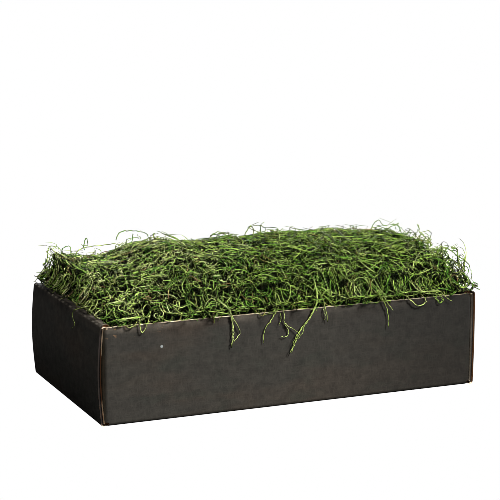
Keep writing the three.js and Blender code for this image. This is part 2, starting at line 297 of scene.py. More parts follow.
@dataclass(frozen=True)
class Finish:
    """A surface finish, which its sockets method tells apart from others."""

    name: str = "finish"
    gloss: float = 0.2
    relief: Span = (0.15, 0.4)

    def material(self, effects: SharedEffects) -> bpy.types.Material:
        """Builds the finish's material.

        Args:
            effects: The shared node groups.

        Returns:
            The material.
        """
        material = bpy.data.materials.new(self.name)
        material.use_nodes = True
        graph = ShaderGraph(material.node_tree)
        shader = material.node_tree.nodes["Principled BSDF"]
        graph.feed(shader, self.sockets(graph, effects, graph.object_place()))
        return material

    def sockets(self, graph: ShaderGraph, effects: SharedEffects, place: Socket) -> dict:
        """Works out the inputs of the surface shader."""
        raise NotImplementedError

    def surface(self, graph: ShaderGraph, colour: Socket, roughness: Any, height: Socket) -> dict:
        """Names the shader's inputs; the relief is its depth in millimetres and its strength."""
        return {"Base Color": colour, "Roughness": roughness, "Specular IOR Level": self.gloss,
                "Normal": graph.bump(height, *self.relief)}


@dataclass(frozen=True)
class PrintedLiner(Finish):
    """Black-brown print on the outer liner: grainy, darker to the right and worn pale at its folds, with a
    painted reflection of the moss under its top edges and painted light and shade on its left end.
    """

    name: str = "printed_liner"
    gloss: float = 0.1
    relief: Span = (0.14, 0.45)
    ink: Colour = linear(38, 36, 32)
    warm_ink: Colour = linear(46, 39, 32)
    cool_ink: Colour = linear(32, 34, 29)
    # Painted reflection of the moss, laid as a pale band under the long walls' top edge.
    painted_reflection: Colour = linear(78, 72, 64)
    worn: Colour = linear(94, 89, 80)
    speck: Colour = linear(104, 80, 56)
    chip: Colour = linear(112, 116, 114)
    chip_place: Point = (-104.5, -80.0, 54.0)
    chip_edge: Span = (0.7, 1.3)
    warm_stretch: Point = (8.0, 8.0, 26.0)
    warm_noise: Span = (0.42, 0.62)
    warm_x: Span = (-100.0, 100.0)
    warm_share: Span = (0.75, 0.25)
    cool_stretch: Point = (40.0, 40.0, 90.0)
    cool_noise: Span = (0.5, 0.72)
    cool_share: float = 0.45
    # Size, place and strength of the painted reflection band.
    reflection_share: float = 0.9
    reflection_band: Span = (65.0, 70.0)
    reflection_scale: float = 30.0
    reflection_noise: Span = (0.35, 0.6)
    reflection_x: Span = (-100.0, 20.0)
    reflection_ends: Span = (1.0, 0.25)
    tones: Span = (0.3, 0.75)
    grain: Span = (0.7, 1.36)
    half_x: float = 150.0
    right_shade: float = 0.5
    # Painted shade of the washboard ridges over the flutes.
    flute_pitch: float = 6.4
    flute_shade: float = 0.025
    # Painted light on the left end panel and painted shade on its rolled top.
    end_x: Span = (-149.4, -148.9)
    painted_end_lift: float = 1.3
    roll_x: Span = (-148.6, -146.0)
    roll_z: Span = (62.0, 71.5)
    painted_roll_shade: float = 0.35
    fold_x: float = 147.6
    fold_z: float = 72.2
    crease_edge: Span = (0.35, 0.6)
    dash_run: float = 8.6
    dash_edge: Span = (-0.2, 0.4)
    drift_scale: float = 60.0
    dash_drift: float = 5.0
    dash_stretch: Point = (5.0, 90.0, 5.0)
    dash_noise: Span = (0.4, 0.66)
    dash_shares: Span = (0.25, 1.0)
    dash_x: Span = (0.0, 100.0)
    right_dashes: float = 0.3
    speck_scale: float = 420.0
    speck_noise: Span = (0.66, 0.72)
    speck_x: Span = (-130.0, -90.0)
    speck_z: Span = (60.0, 70.0)
    front_y: float = -79.5
    corner_x: float = -147.0
    roughness: Span = (0.74, 0.66)

    def sockets(self, graph: ShaderGraph, effects: SharedEffects, place: Socket) -> dict:
        """Lays the ink, its grain and its wear.

        Args:
            graph: The material's graph.
            effects: The shared node groups.
            place: The place on the object.

        Returns:
            The shader's inputs by name.
        """
        x, y, z = graph.split(place)
        tone, height = effects.paper(graph, place)
        colour = self._inked(graph, effects, place, x)
        # Painted reflection of the moss: a pale band under the top edge, stronger to the left.
        reflection_mask = graph.remap(graph.noise(place, self.reflection_scale), self.reflection_noise)
        reflection_mask = graph.times(self._painted_reflection_band(graph, x, z), reflection_mask, self.reflection_share)
        colour = graph.mix(reflection_mask, colour, self.painted_reflection)
        grain = graph.remap(tone, self.tones, self.grain)
        fade = graph.remap_mm(x, (0.0, self.half_x), (1.0, self.right_shade))
        # Painted shade of the washboard ridges over the flutes, in bands up the walls.
        flutes = graph.math("SINE", graph.times(z, 2 * math.pi / (self.flute_pitch * MM)))
        painted_washboard_shade = graph.math("MULTIPLY_ADD", flutes, self.flute_shade, 1.0)
        colour = graph.dimmed(colour, graph.times(grain, fade, painted_washboard_shade))
        # Painted light on the left end panel and painted shade on its rolled top.
        colour = graph.dimmed(colour, self._painted_end_light(graph, x, z))
        colour = graph.mix(self._specks(graph, place, (x, y, z)), colour, self.speck)
        colour = graph.mix(self._chip(graph, place), colour, self.chip)
        colour = graph.mix(self._worn_fold(graph, place, (x, y, z)), colour, self.worn)
        return self.surface(graph, colour, graph.remap(tone, self.tones, self.roughness), height)

    def _inked(self, graph: ShaderGraph, effects: SharedEffects, place: Socket, x: Socket) -> Socket:
        """Lays the ink in warmer and cooler patches.

        Args:
            graph: The graph.
            effects: The shared node groups.
            place: The place.
            x: The place along the tray.

        Returns:
            The colour.
        """
        warm = effects.patches(graph, graph.stretched(place, self.warm_stretch), 1.0, self.warm_noise)
        cool = effects.patches(graph, graph.stretched(place, self.cool_stretch), 1.0, self.cool_noise)
        warmth = graph.remap_mm(x, self.warm_x, self.warm_share)
        colour = graph.mix(graph.times(warm, warmth), self.ink, self.warm_ink)
        return graph.mix(graph.times(cool, self.cool_share), colour, self.cool_ink)

    def _painted_reflection_band(self, graph: ShaderGraph, x: Socket, z: Socket) -> Socket:
        """Mask of the painted reflection of the moss: a band under the long walls' top edge, stronger to the
        left.
        """
        return graph.times(graph.remap_mm(z, self.reflection_band), graph.remap_mm(x, self.reflection_x, self.reflection_ends))

    def _painted_end_light(self, graph: ShaderGraph, x: Socket, z: Socket) -> Socket:
        """Painted light and shade of the left end: painted a little lighter than the front, with painted
        shade on its rolled top.

        Args:
            graph: The graph.
            x: The place along the tray.
            z: The height.

        Returns:
            The factor.
        """
        end = graph.remap_mm(x, self.end_x, (self.painted_end_lift, 1.0))
        roll = graph.times(graph.remap_mm(z, self.roll_z), graph.remap_mm(x, self.roll_x, (1.0, 0.0)))
        return graph.times(end, graph.remap(roll, (0.0, 1.0), (1.0, self.painted_roll_shade)))

    def _worn_fold(self, graph: ShaderGraph, place: Socket, axes: tuple[Socket, ...]) -> Socket:
        """Mask of the pale dashes along the rolled tops of the ends, weaker on the right one.

        Args:
            graph: The graph.
            place: The place.
            axes: The place, split by its axes.

        Returns:
            The mask.
        """
        x, y, z = axes
        off = graph.math("ABSOLUTE", graph.math("SUBTRACT", z, self.fold_z * MM))
        crease = graph.remap_mm(off, self.crease_edge, (1.0, 0.0))
        out = graph.math("GREATER_THAN", graph.math("ABSOLUTE", x), self.fold_x * MM)
        drift = graph.times(graph.noise(place, self.drift_scale, 1.0), self.dash_drift)
        turn = graph.math("MULTIPLY_ADD", y, 2 * math.pi / (self.dash_run * MM), drift)
        dashes = graph.remap(graph.math("SINE", turn), self.dash_edge)
        runs = graph.noise(graph.stretched(place, self.dash_stretch), 1.0, 1.0)
        strong = graph.remap(runs, self.dash_noise, self.dash_shares)
        right = graph.remap_mm(x, self.dash_x, (1.0, self.right_dashes))
        return graph.times(crease, out, dashes, strong, right)

    def _specks(self, graph: ShaderGraph, place: Socket, axes: tuple[Socket, ...]) -> Socket:
        """Mask of the small brown specks under the rim near the front left corner.

        Args:
            graph: The graph.
            place: The place.
            axes: The place, split by its axes.

        Returns:
            The mask.
        """
        x, y, z = axes
        spots = graph.remap(graph.noise(place, self.speck_scale, 1.0), self.speck_noise)
        front = graph.math("LESS_THAN", y, self.front_y * MM)
        beside = graph.math("GREATER_THAN", x, self.corner_x * MM)
        left = graph.remap_mm(x, self.speck_x, (1.0, 0.0))
        return graph.times(spots, front, beside, graph.remap_mm(z, self.speck_z), left)

    def _chip(self, graph: ShaderGraph, place: Socket) -> Socket:
        """Mask of the one small pale chip in the front's print.

        Args:
            graph: The graph.
            place: The place.

        Returns:
            The mask.
        """
        centre = tuple(value * MM for value in self.chip_place)
        away = graph.add("ShaderNodeVectorMath", {0: place, 1: centre}, operation="DISTANCE")
        return graph.remap_mm(away.outputs["Value"], self.chip_edge, (1.0, 0.0))


@dataclass(frozen=True)
class PlainLiner(Finish):
    """Pale, unprinted inner side of the board."""

    name: str = "plain_liner"
    gloss: float = 0.3
    light: Colour = linear(206, 196, 178)
    dark: Colour = linear(170, 154, 128)
    tones: Span = (0.35, 0.7)
    roughness: Span = (0.85, 0.75)

    def sockets(self, graph: ShaderGraph, effects: SharedEffects, place: Socket) -> dict:
        """Colours plain paper.

        Args:
            graph: The material's graph.
            effects: The shared node groups.
            place: The place on the object.

        Returns:
            The shader's inputs by name.
        """
        tone, height = effects.paper(graph, place)
        tone = graph.remap(tone, self.tones)
        colour = graph.mix(tone, self.dark, self.light)
        return self.surface(graph, colour, graph.remap(tone, (0.0, 1.0), self.roughness), height)


@dataclass(frozen=True)
class CutLiner(Finish):
    """Cut edges of the liners: pale on top of the long walls, duller to the right, brown at the corners."""

    name: str = "cut_liner"
    light: Colour = linear(214, 198, 172)
    dark: Colour = linear(164, 144, 116)
    corner: Colour = linear(96, 68, 46)
    tones: Span = (0.35, 0.7)
    rough_tones: Span = (0.3, 0.7)
    roughness: Span = (0.85, 0.75)
    corner_x: float = 149.2
    wall_x: float = 147.0
    fade_x: Span = (-120.0, 140.0)
    right_shade: float = 0.4

    def sockets(self, graph: ShaderGraph, effects: SharedEffects, place: Socket) -> dict:
        """Colours the cut paper by its place.

        Args:
            graph: The material's graph.
            effects: The shared node groups.
            place: The place on the object.

        Returns:
            The shader's inputs by name.
        """
        tone, height = effects.paper(graph, place)
        x = graph.split(place)[0]
        away = graph.math("ABSOLUTE", x)
        fade = graph.remap_mm(x, self.fade_x, (1.0, self.right_shade))
        shade = graph.math("MAXIMUM", fade, graph.math("GREATER_THAN", away, self.wall_x * MM))
        pale = graph.dimmed(graph.mix(graph.remap(tone, self.tones), self.dark, self.light), shade)
        colour = graph.mix(graph.math("GREATER_THAN", away, self.corner_x * MM), pale, self.corner)
        return self.surface(graph, colour, graph.remap(tone, self.rough_tones, self.roughness), height)


@dataclass(frozen=True)
class Medium(Finish):
    """Brown fluted paper, seen between the liners at a cut edge, with painted shade darkest halfway between
    them where the flutes lie in shadow.
    """

    name: str = "fluted_medium"
    relief: Span = (0.2, 0.5)
    light: Colour = linear(132, 90, 60)
    dark: Colour = linear(74, 50, 34)
    # Painted shadow of the flutes, darkest halfway between the liners.
    painted_core: Colour = linear(26, 20, 16)
    painted_core_edge: Span = (0.25, 0.55)
    patch_scale: float = 60.0
    patch_noise: Span = (0.4, 0.6)
    rough_tones: Span = (0.3, 0.7)
    roughness: Span = (0.9, 0.8)
    middle_x: float = 148.75
    middle_y: float = 78.75

    def sockets(self, graph: ShaderGraph, effects: SharedEffects, place: Socket) -> dict:
        """Colours the fluted paper and paints its shade by how deep between the liners it lies.

        Args:
            graph: The material's graph.
            effects: The shared node groups.
            place: The place on the object.

        Returns:
            The shader's inputs by name.
        """
        tone, height = effects.paper(graph, place)
        x, y, _ = graph.split(place)
        off = [graph.math("ABSOLUTE", graph.math("SUBTRACT", graph.math("ABSOLUTE", axis), middle * MM))
               for axis, middle in ((x, self.middle_x), (y, self.middle_y))]
        # Painted shade, darkest halfway between the liners where the flutes lie in shadow.
        painted_core = graph.remap_mm(graph.math("MINIMUM", *off), self.painted_core_edge, (1.0, 0.0))
        patches = effects.patches(graph, place, self.patch_scale, self.patch_noise)
        colour = graph.mix(painted_core, graph.mix(patches, self.dark, self.light), self.painted_core)
        return self.surface(graph, colour, graph.remap(tone, self.rough_tones, self.roughness), height)


@dataclass(frozen=True)
class MossStrand(Finish):
    """Preserved moss: mixed greens with olive and brown leaves, drier to the left, with painted light in the
    middle of each strand and painted shade at its rims, in flecks and under the moss over it.
    """

    name: str = "moss_strand"
    gloss: float = 0.05
    relief: Span = (0.3, 0.4)
    brown: Colour = linear(98, 78, 48)
    olive: Colour = linear(112, 116, 54)
    deep: Colour = linear(54, 98, 24)
    green: Colour = linear(102, 133, 46)
    yellow_green: Colour = linear(126, 144, 68)
    pale: Colour = linear(140, 152, 90)
    stops: tuple[float, ...] = (0.0, 0.08, 0.3, 0.54, 0.76, 1.0)
    dry: Colour = (1.36, 1.22, 1.7)
    dry_x: Span = (0.0, -90.0)
    dry_drift: float = 0.12
    patch_scale: float = 16.0
    patch_drift: float = 0.15
    fine_scale: float = 220.0
    fine_drift: float = 0.3
    tip_along: Span = (0.6, 1.0)
    tip_share: float = 0.35
    facing: Span = (0.1, 0.7)
    # Painted light in the middle of each strand and painted shade at its rims, by how the surface faces the
    # view.
    painted_core: float = 1.36
    rim: float = 0.14
    # Painted shade in small flecks, where strands twist and overlap.
    fleck_shade_scale: float = 380.0
    fleck_shade_noise: Span = (0.36, 0.62)
    painted_fleck_shade: Span = (0.8, 1.2)
    bump_scale: float = 900.0
    rough_noise: Span = (-0.3, 0.3)
    roughness: Span = (0.47, 0.65)

    def sockets(self, graph: ShaderGraph, effects: SharedEffects, place: Socket) -> dict:
        """Colours each strand by its tone and its dryness, and paints its light and shade.

        Args:
            graph: The material's graph.
            effects: The shared node groups; not used here.
            place: The place on the object.

        Returns:
            The shader's inputs by name.
        """
        drift = graph.math("SUBTRACT", graph.noise(place, self.patch_scale, 2.0), NOISE_MIDDLE)
        fine = graph.math("SUBTRACT", graph.noise(place, self.fine_scale, 2.0), NOISE_MIDDLE)
        tone = graph.math("MULTIPLY_ADD", drift, self.patch_drift, graph.attribute("tone"))
        tone = graph.math("MULTIPLY_ADD", fine, self.fine_drift, tone, clamp=True)
        colours = (self.brown, self.olive, self.deep, self.green, self.yellow_green, self.pale)
        colour = graph.ramp(tone, tuple(zip(self.stops, colours)))
        tip = graph.remap(graph.attribute("along"), self.tip_along, (0.0, self.tip_share))
        colour = graph.mix(tip, colour, self.yellow_green)
        edge = graph.math("MULTIPLY_ADD", drift, self.dry_drift, graph.split(place)[0])
        dried = graph.mix(1.0, colour, self.dry, "MULTIPLY")
        colour = graph.mix(graph.remap_mm(edge, self.dry_x), colour, dried)
        # Painted light and shade: lighter middles, dark rims, shaded flecks and the painted shade kept at the
        # strands' points.
        facing = graph.add("ShaderNodeLayerWeight", {"Blend": 0.5}).outputs["Facing"]
        painted_round_shade = graph.remap(facing, self.facing, (self.painted_core, self.rim))
        painted_fleck_shade = graph.remap(graph.noise(place, self.fleck_shade_scale, 1.0), self.fleck_shade_noise, self.painted_fleck_shade)
        colour = graph.dimmed(colour, graph.times(graph.attribute("shade"), painted_round_shade, painted_fleck_shade))
        roughness = graph.remap(fine, self.rough_noise, self.roughness)
        return self.surface(graph, colour, roughness, graph.noise(place, self.bump_scale, 2.0))


@dataclass(frozen=True)
class PaintedShadeHeart(Finish):
    """Tangle in the middle of the heap, near-black as painted shade of the heap's depths; only gaps between
    the strands show a little of it.
    """

    name: str = "moss_heart_painted_shade"
    gloss: float = 0.1
    relief: Span = (1.0, 0.8)
    # Near-black colours: painted shade deep inside the heap.
    dark: Colour = linear(14, 18, 8)
    light: Colour = linear(40, 46, 20)
    patch_scale: float = 300.0
    patch_noise: Span = (0.45, 0.7)
    bump_scale: float = 400.0
    roughness: float = 0.95

    def sockets(self, graph: ShaderGraph, effects: SharedEffects, place: Socket) -> dict:
        """Colours the tangle in small patches.

        Args:
            graph: The material's graph.
            effects: The shared node groups.
            place: The place on the object.

        Returns:
            The shader's inputs by name.
        """
        patches = effects.patches(graph, place, self.patch_scale, self.patch_noise)
        colour = graph.mix(patches, self.dark, self.light)
        return self.surface(graph, colour, self.roughness, graph.noise(place, self.bump_scale))


# Pieces in general


def finished_piece(piece: bpy.types.Object, nodes: Iterable[str]) -> bpy.types.Object:
    """Puts a piece on its body, in place of its solid.

    Args:
        piece: The piece, in place and at the origin.
        nodes: The solids that it stands for.

    Returns:
        The piece.
    """
    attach(piece, BODY)
    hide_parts(*nodes)
    log.info("%s: %d faces", piece.name, len(piece.data.polygons))
    return piece


def linked(name: str, data: bpy.types.ID) -> bpy.types.Object:
    """Makes an object of some data and links it to the scene.

    Args:
        name: The object's name.
        data: The data.

    Returns:
        The object.
    """
    made = bpy.data.objects.new(name, data)
    bpy.context.scene.collection.objects.link(made)
    return made


def new_mesh(name: str, bm: bmesh.types.BMesh, scale: float = 1.0) -> bpy.types.Mesh:
    """Keeps a finished bmesh as a mesh.

    Args:
        name: The mesh's name.
        bm: The bmesh, which is freed.
        scale: How much it is scaled.

    Returns:
        The mesh.
    """
    bm.transform(Matrix.Scale(scale, 4))
    mesh = bpy.data.meshes.new(name)
    bm.to_mesh(mesh)
    bm.free()
    return mesh


def to_mesh(source: bpy.types.Object, name: str) -> bpy.types.Mesh:
    """Turns an object with its modifiers or bevel into a plain mesh and removes the object.

    Args:
        source: The object.
        name: The new mesh's name.

    Returns:
        The mesh.
    """
    bpy.context.view_layer.update()
    graph = bpy.context.evaluated_depsgraph_get()
    mesh = bpy.data.meshes.new_from_object(source.evaluated_get(graph))
    mesh.name = name
    bpy.data.objects.remove(source)
    return mesh


# The tray


class BoardFace(Enum):
    """Material slots of the tray's mesh."""

    PRINT = 0
    INSIDE = 1
    CUT = 2
    MEDIUM = 3


@dataclass
class CartonTray:
    """Tray folded from one blank of corrugated board.

    The blank is a flat sheet first: its walls, flaps and end panels are folded up from the bottom
    by spinning its edges, and the sheet then gets its thickness. The flutes run along X in the
    bottom, so they lie along the long walls and stand upright in the ends.
    """

    length: float = 300.0
    width: float = 160.0
    height: float = 73.0
    long_wall_height: float = 71.0
    board: float = 2.5
    gap: float = 0.3
    fold_radius: float = 1.5
    fold_steps: int = 5
    end_bow: dict[int, float] = field(default_factory=lambda: {-1: 2.2, 1: 0.4})
    bow_steps: int = 10
    flap_reach: float = 55.0
    flap_top: float = 69.5
    flap_foot: float = 3.0
    tab_width: float = 22.0
    tab_spacing: float = 76.0
    tab_foot: float = 0.4
    slot_clearance: float = 0.4
    lip: float = 0.45
    groove: float = 1.4
    smooth_below: float = 30.0
    touch: float = 0.01
    bm: bmesh.types.BMesh = field(default_factory=bmesh.new)

    def __post_init__(self) -> None:
        """Works out the middle lines of the panels from the driving sizes."""
        self.outer_x = (self.length - self.board) / 2
        self.flap_x = self.outer_x - self.board - self.gap
        self.inner_x = self.flap_x - self.board - self.gap
        self.wall_y = (self.width - self.board) / 2
        self.floor_z = self.board / 2
        self.roll_z = self.height - self.board / 2
        self.panel_half_y = self.wall_y - self.fold_radius

    def near(self, value: float, place: float) -> bool:
        """Whether a coordinate lies at a place."""
        return abs(value - place) < self.touch

    def edges_where(self, test: PlaceTest) -> Edges:
        """Finds the open edges of the sheet whose two ends both pass a test."""
        return [e for e in self.bm.edges if e.is_boundary and all(test(v.co) for v in e.verts)]

    def run(self, edges: Edges, move: Point) -> Edges:
        """Extends the sheet straight from some edges.

        Args:
            edges: The edges.
            move: How far and where to.

        Returns:
            The new outer edges.
        """
        new = bmesh.ops.extrude_edge_only(self.bm, edges=edges)["geom"]
        verts = [g for g in new if isinstance(g, bmesh.types.BMVert)]
        bmesh.ops.translate(self.bm, vec=move, verts=verts)
        moved = set(verts)
        return [g for g in new if isinstance(g, bmesh.types.BMEdge) and set(g.verts) <= moved]

    def fold(self, edges: Edges, centre: Point, axis: Point, turn: float) -> Edges:
        """Extends the sheet round a fold.

        Args:
            edges: The edges that the fold starts from.
            centre: A point on the fold's axis.
            axis: The axis.
            turn: The turn, in degrees.

        Returns:
            The new outer edges.
        """
        made = bmesh.ops.spin(
            self.bm, geom=edges, cent=centre, axis=axis, dvec=(0.0, 0.0, 0.0),
            angle=math.radians(turn), steps=self.fold_steps, use_merge=False, use_duplicate=False,
        )
        return [g for g in made["geom_last"] if isinstance(g, bmesh.types.BMEdge)]

    def cut_lines(self, test: PlaceTest, axis: int, places: Iterable[float]) -> None:
        """Adds straight lines across part of the sheet.

        Args:
            test: A test of a face's middle, which picks the faces that are cut.
            axis: The axis that the lines are placed along.
            places: Where they are.
        """
        for place in places:
            faces = [f for f in self.bm.faces if test(f.calc_center_median())]
            edges = {e for f in faces for e in f.edges}
            verts = {v for f in faces for v in f.verts}
            normal = Vector.Fill(3, 0.0)
            normal[axis] = 1.0
            bmesh.ops.bisect_plane(self.bm, geom=[*faces, *edges, *verts], dist=self.touch,
                                   plane_co=place * normal, plane_no=normal)

    def _bottom(self) -> None:
        """Lays the bottom panel with the slots of the lock tabs cut out of it."""
        half_x = self.outer_x - self.fold_radius
        bmesh.ops.create_grid(self.bm, x_segments=1, y_segments=1, size=1.0)
        bmesh.ops.scale(self.bm, vec=(half_x, self.panel_half_y, 1.0), verts=self.bm.verts[:])
        bmesh.ops.translate(self.bm, vec=(0.0, 0.0, self.floor_z), verts=self.bm.verts[:])
        wall_x = self.flap_x - self.fold_radius
        slot_half_x = self.board / 2 + self.slot_clearance
        slot_half_y = self.tab_width / 2 + self.slot_clearance
        slot_x = [side * (self.inner_x + end * slot_half_x) for side in (-1, 1) for end in (-1, 1)]
        slot_y = [side * self.tab_spacing / 2 + end * slot_half_y for side in (-1, 1) for end in (-1, 1)]
        self.cut_lines(lambda c: True, 0, [-wall_x, wall_x, *slot_x])
        self.cut_lines(lambda c: True, 1, slot_y)
        slots = [
            f for f in self.bm.faces
            if abs(abs(f.calc_center_median().x) - self.inner_x) < slot_half_x
            and abs(abs(f.calc_center_median().y) - self.tab_spacing / 2) < slot_half_y
        ]
        bmesh.ops.delete(self.bm, geom=slots, context="FACES")

    def _long_wall(self, side: int) -> None:
        """Folds up one long wall and turns its two corner flaps in behind the ends.

        Args:
            side: -1 for the front wall, 1 for the back wall.
        """
        near_y = side * self.panel_half_y
        wall_x = self.flap_x - self.fold_radius
        edges = self.edges_where(lambda c: self.near(c.y, near_y) and abs(c.x) < wall_x + self.touch)
        top_of_fold = self.floor_z + self.fold_radius
        edges = self.fold(edges, (0.0, near_y, top_of_fold), (1.0, 0.0, 0.0), side * 90.0)
        levels = [top_of_fold, self.flap_foot, self.flap_top, self.long_wall_height]
        for below, level in zip(levels, levels[1:]):
            edges = self.run(edges, (0.0, 0.0, level - below))
        for end in (-1, 1):
            edge_x = end * wall_x
            flap = self.edges_where(
                lambda c: self.near(c.x, edge_x) and side * c.y > self.panel_half_y
                and self.flap_foot - self.touch < c.z < self.flap_top + self.touch)
            flap = self.fold(flap, (edge_x, near_y, 0.0), (0.0, 0.0, 1.0), -side * end * 90.0)
            self.run(flap, (0.0, side * (self.wall_y - self.flap_reach) - near_y, 0.0))

    def _end_wall(self, side: int) -> None:
        """Folds up one end: outer panel, rolled top, inner panel and lock tabs.

        Args:
            side: -1 for the left end, 1 for the right end.
        """
        fold_x = side * (self.outer_x - self.fold_radius)
        foot_z = self.floor_z + self.fold_radius
        head_z = self.roll_z - self.fold_radius
        edges = self.edges_where(lambda c: self.near(c.x, fold_x))
        edges = self.fold(edges, (fold_x, 0.0, foot_z), (0.0, 1.0, 0.0), -side * 90.0)
        bow = [self.end_bow[side] * math.sin(math.pi * i / self.bow_steps) for i in range(self.bow_steps + 1)]
        for before, after in zip(bow, bow[1:]):
            edges = self.run(edges, (side * (after - before), 0.0, (head_z - foot_z) / self.bow_steps))
        edges = self.fold(edges, (fold_x, 0.0, head_z), (0.0, 1.0, 0.0), -side * 90.0)
        self._widen_outer_panel(side)
        inner_fold_x = side * (self.inner_x + self.fold_radius)
        edges = self.edges_where(
            lambda c: self.near(c.x, fold_x) and self.near(c.z, self.roll_z)
            and abs(c.y) < self.panel_half_y + self.touch)
        edges = self.run(edges, (inner_fold_x - fold_x, 0.0, 0.0))
        edges = self.fold(edges, (inner_fold_x, 0.0, head_z), (0.0, 1.0, 0.0), -side * 90.0)
        self.run(edges, (0.0, 0.0, self.board + self.gap - head_z))
        self._lock_tabs(side)

    def _widen_outer_panel(self, side: int) -> None:
        """Brings the outer panel of one end out to the full width of the tray.

        Args:
            side: -1 for the left end, 1 for the right end.
        """
        fold_x = self.outer_x - self.fold_radius
        for end in (-1, 1):
            edges = self.edges_where(
                lambda c: side * c.x > fold_x - self.touch and self.near(c.y, end * self.panel_half_y))
            self.run(edges, (0.0, end * (self.width / 2 - self.panel_half_y), 0.0))

    def _lock_tabs(self, side: int) -> None:
        """Drops the two lock tabs of one inner panel into their slots.

        Args:
            side: -1 for the left end, 1 for the right end.
        """
        foot = self.board + self.gap
        tab_y = [s * self.tab_spacing / 2 + e * self.tab_width / 2 for s in (-1, 1) for e in (-1, 1)]
        self.cut_lines(lambda c: self.near(c.x, side * self.inner_x), 1, tab_y)
        for middle in (-self.tab_spacing / 2, self.tab_spacing / 2):
            edges = self.edges_where(
                lambda c: self.near(c.x, side * self.inner_x) and self.near(c.z, foot)
                and abs(c.y - middle) < self.tab_width / 2 + self.touch)
            self.run(edges, (0.0, 0.0, self.tab_foot - foot))

    def folded_sheet(self) -> bpy.types.Mesh:
        """Folds the blank up as a sheet without thickness, its printed side outwards.

        Returns:
            The sheet's mesh.
        """
        self._bottom()
        for side in (-1, 1):
            self._long_wall(side)
        for side in (-1, 1):
            self._end_wall(side)
        bmesh.ops.remove_doubles(self.bm, verts=self.bm.verts[:], dist=self.touch)
        bmesh.ops.recalc_face_normals(self.bm, faces=self.bm.faces[:])
        lowest = min(self.bm.faces, key=lambda f: f.calc_center_median().z)
        if lowest.normal.z > 0:
            bmesh.ops.reverse_faces(self.bm, faces=self.bm.faces[:])
        return new_mesh("blank", self.bm)

    def thicken(self, sheet: bpy.types.Mesh) -> bpy.types.Mesh:
        """Gives the sheet the board's thickness.

        Args:
            sheet: The folded sheet.

        Returns:
            The board's mesh.
        """
        source = linked("blank", sheet)
        for face in BoardFace:
            sheet.materials.append(None)
        solid = source.modifiers.new("thickness", "SOLIDIFY")
        solid.thickness = self.board
        solid.offset = 0.0
        solid.use_even_offset = True
        solid.use_quality_normals = True
        solid.material_offset = BoardFace.INSIDE.value
        solid.material_offset_rim = BoardFace.CUT.value
        return to_mesh(source, "carton_board")

    def groove_edges(self, mesh: bpy.types.Mesh) -> None:
        """Grooves the board's cut edges between the liners and rounds its folds.

        Args:
            mesh: The board's mesh, which is changed and scaled to metres.
        """
        bm = bmesh.new()
        bm.from_mesh(mesh)
        bm.normal_update()
        cut = [f for f in bm.faces if f.material_index == BoardFace.CUT.value]
        bmesh.ops.inset_region(bm, faces=cut, thickness=self.lip, depth=-self.groove, use_boundary=True,
                               use_even_offset=True)
        for face in cut:
            face.material_index = BoardFace.MEDIUM.value
        bmesh.ops.triangulate(bm, faces=[f for f in bm.faces if len(f.verts) > 4])
        for edge in bm.edges:
            angle = math.degrees(edge.calc_face_angle(0.0))
            edge.smooth = len(edge.link_faces) == 2 and angle < self.smooth_below
        for face in bm.faces:
            face.smooth = True
        bm.transform(Matrix.Scale(MM, 4))
        bm.to_mesh(mesh)
        bm.free()

    def build(self, effects: SharedEffects) -> list[bpy.types.Object]:
        """Builds the tray and dresses it.

        Args:
            effects: The shared node groups.

        Returns:
            The tray's pieces.
        """
        mesh = self.thicken(self.folded_sheet())
        self.groove_edges(mesh)
        finishes = {BoardFace.PRINT: PrintedLiner(), BoardFace.INSIDE: PlainLiner(),
                    BoardFace.CUT: CutLiner(), BoardFace.MEDIUM: Medium()}
        for face, finish in finishes.items():
            mesh.materials[face.value] = finish.material(effects)
        return [finished_piece(linked("carton_board", mesh), [TRAY_NODE])]


# The moss


@dataclass(frozen=True)
class Swell:
    """A hump or dip of the heap's top, over its whole width."""

    x: float
    width: float
    share: float


@dataclass(frozen=True)
class CornerDip:
    """The low front left corner of the heap."""

    x: float = -135.0
    y: float = -60.0
    span_x: float = 38.0
    span_y: float = 50.0
    share: float = 0.35

    def keep(self, x: np.ndarray, y: np.ndarray) -> np.ndarray:
        """Share of the height that stays at each place."""
        away = ((x - self.x) / self.span_x) ** 2 + ((y - self.y) / self.span_y) ** 2
        return 1 - self.share * np.exp(-away)


@dataclass(frozen=True)
class Rise:
    """A local rise of the heap, or a hollow where its lift is negative, longer across the tray."""

    x: float
    y: float
    span: float
    lift: float
    length: float = 1.8

    def height(self, x: np.ndarray, y: np.ndarray) -> np.ndarray:
        """Height that it adds at each place."""
        away = ((x - self.x) / self.span) ** 2 + ((y - self.y) / (self.length * self.span)) ** 2
        return self.lift * np.exp(-away)


@dataclass(frozen=True)
class Shoulder:
    """How the heap's height falls from its middle to its edge."""

    power: float
    rounding: float

    def height(self, share: np.ndarray) -> np.ndarray:
        """Height share at each share of the way to the edge."""
        return np.clip(1 - np.abs(share) ** self.power, 0, None) ** self.rounding


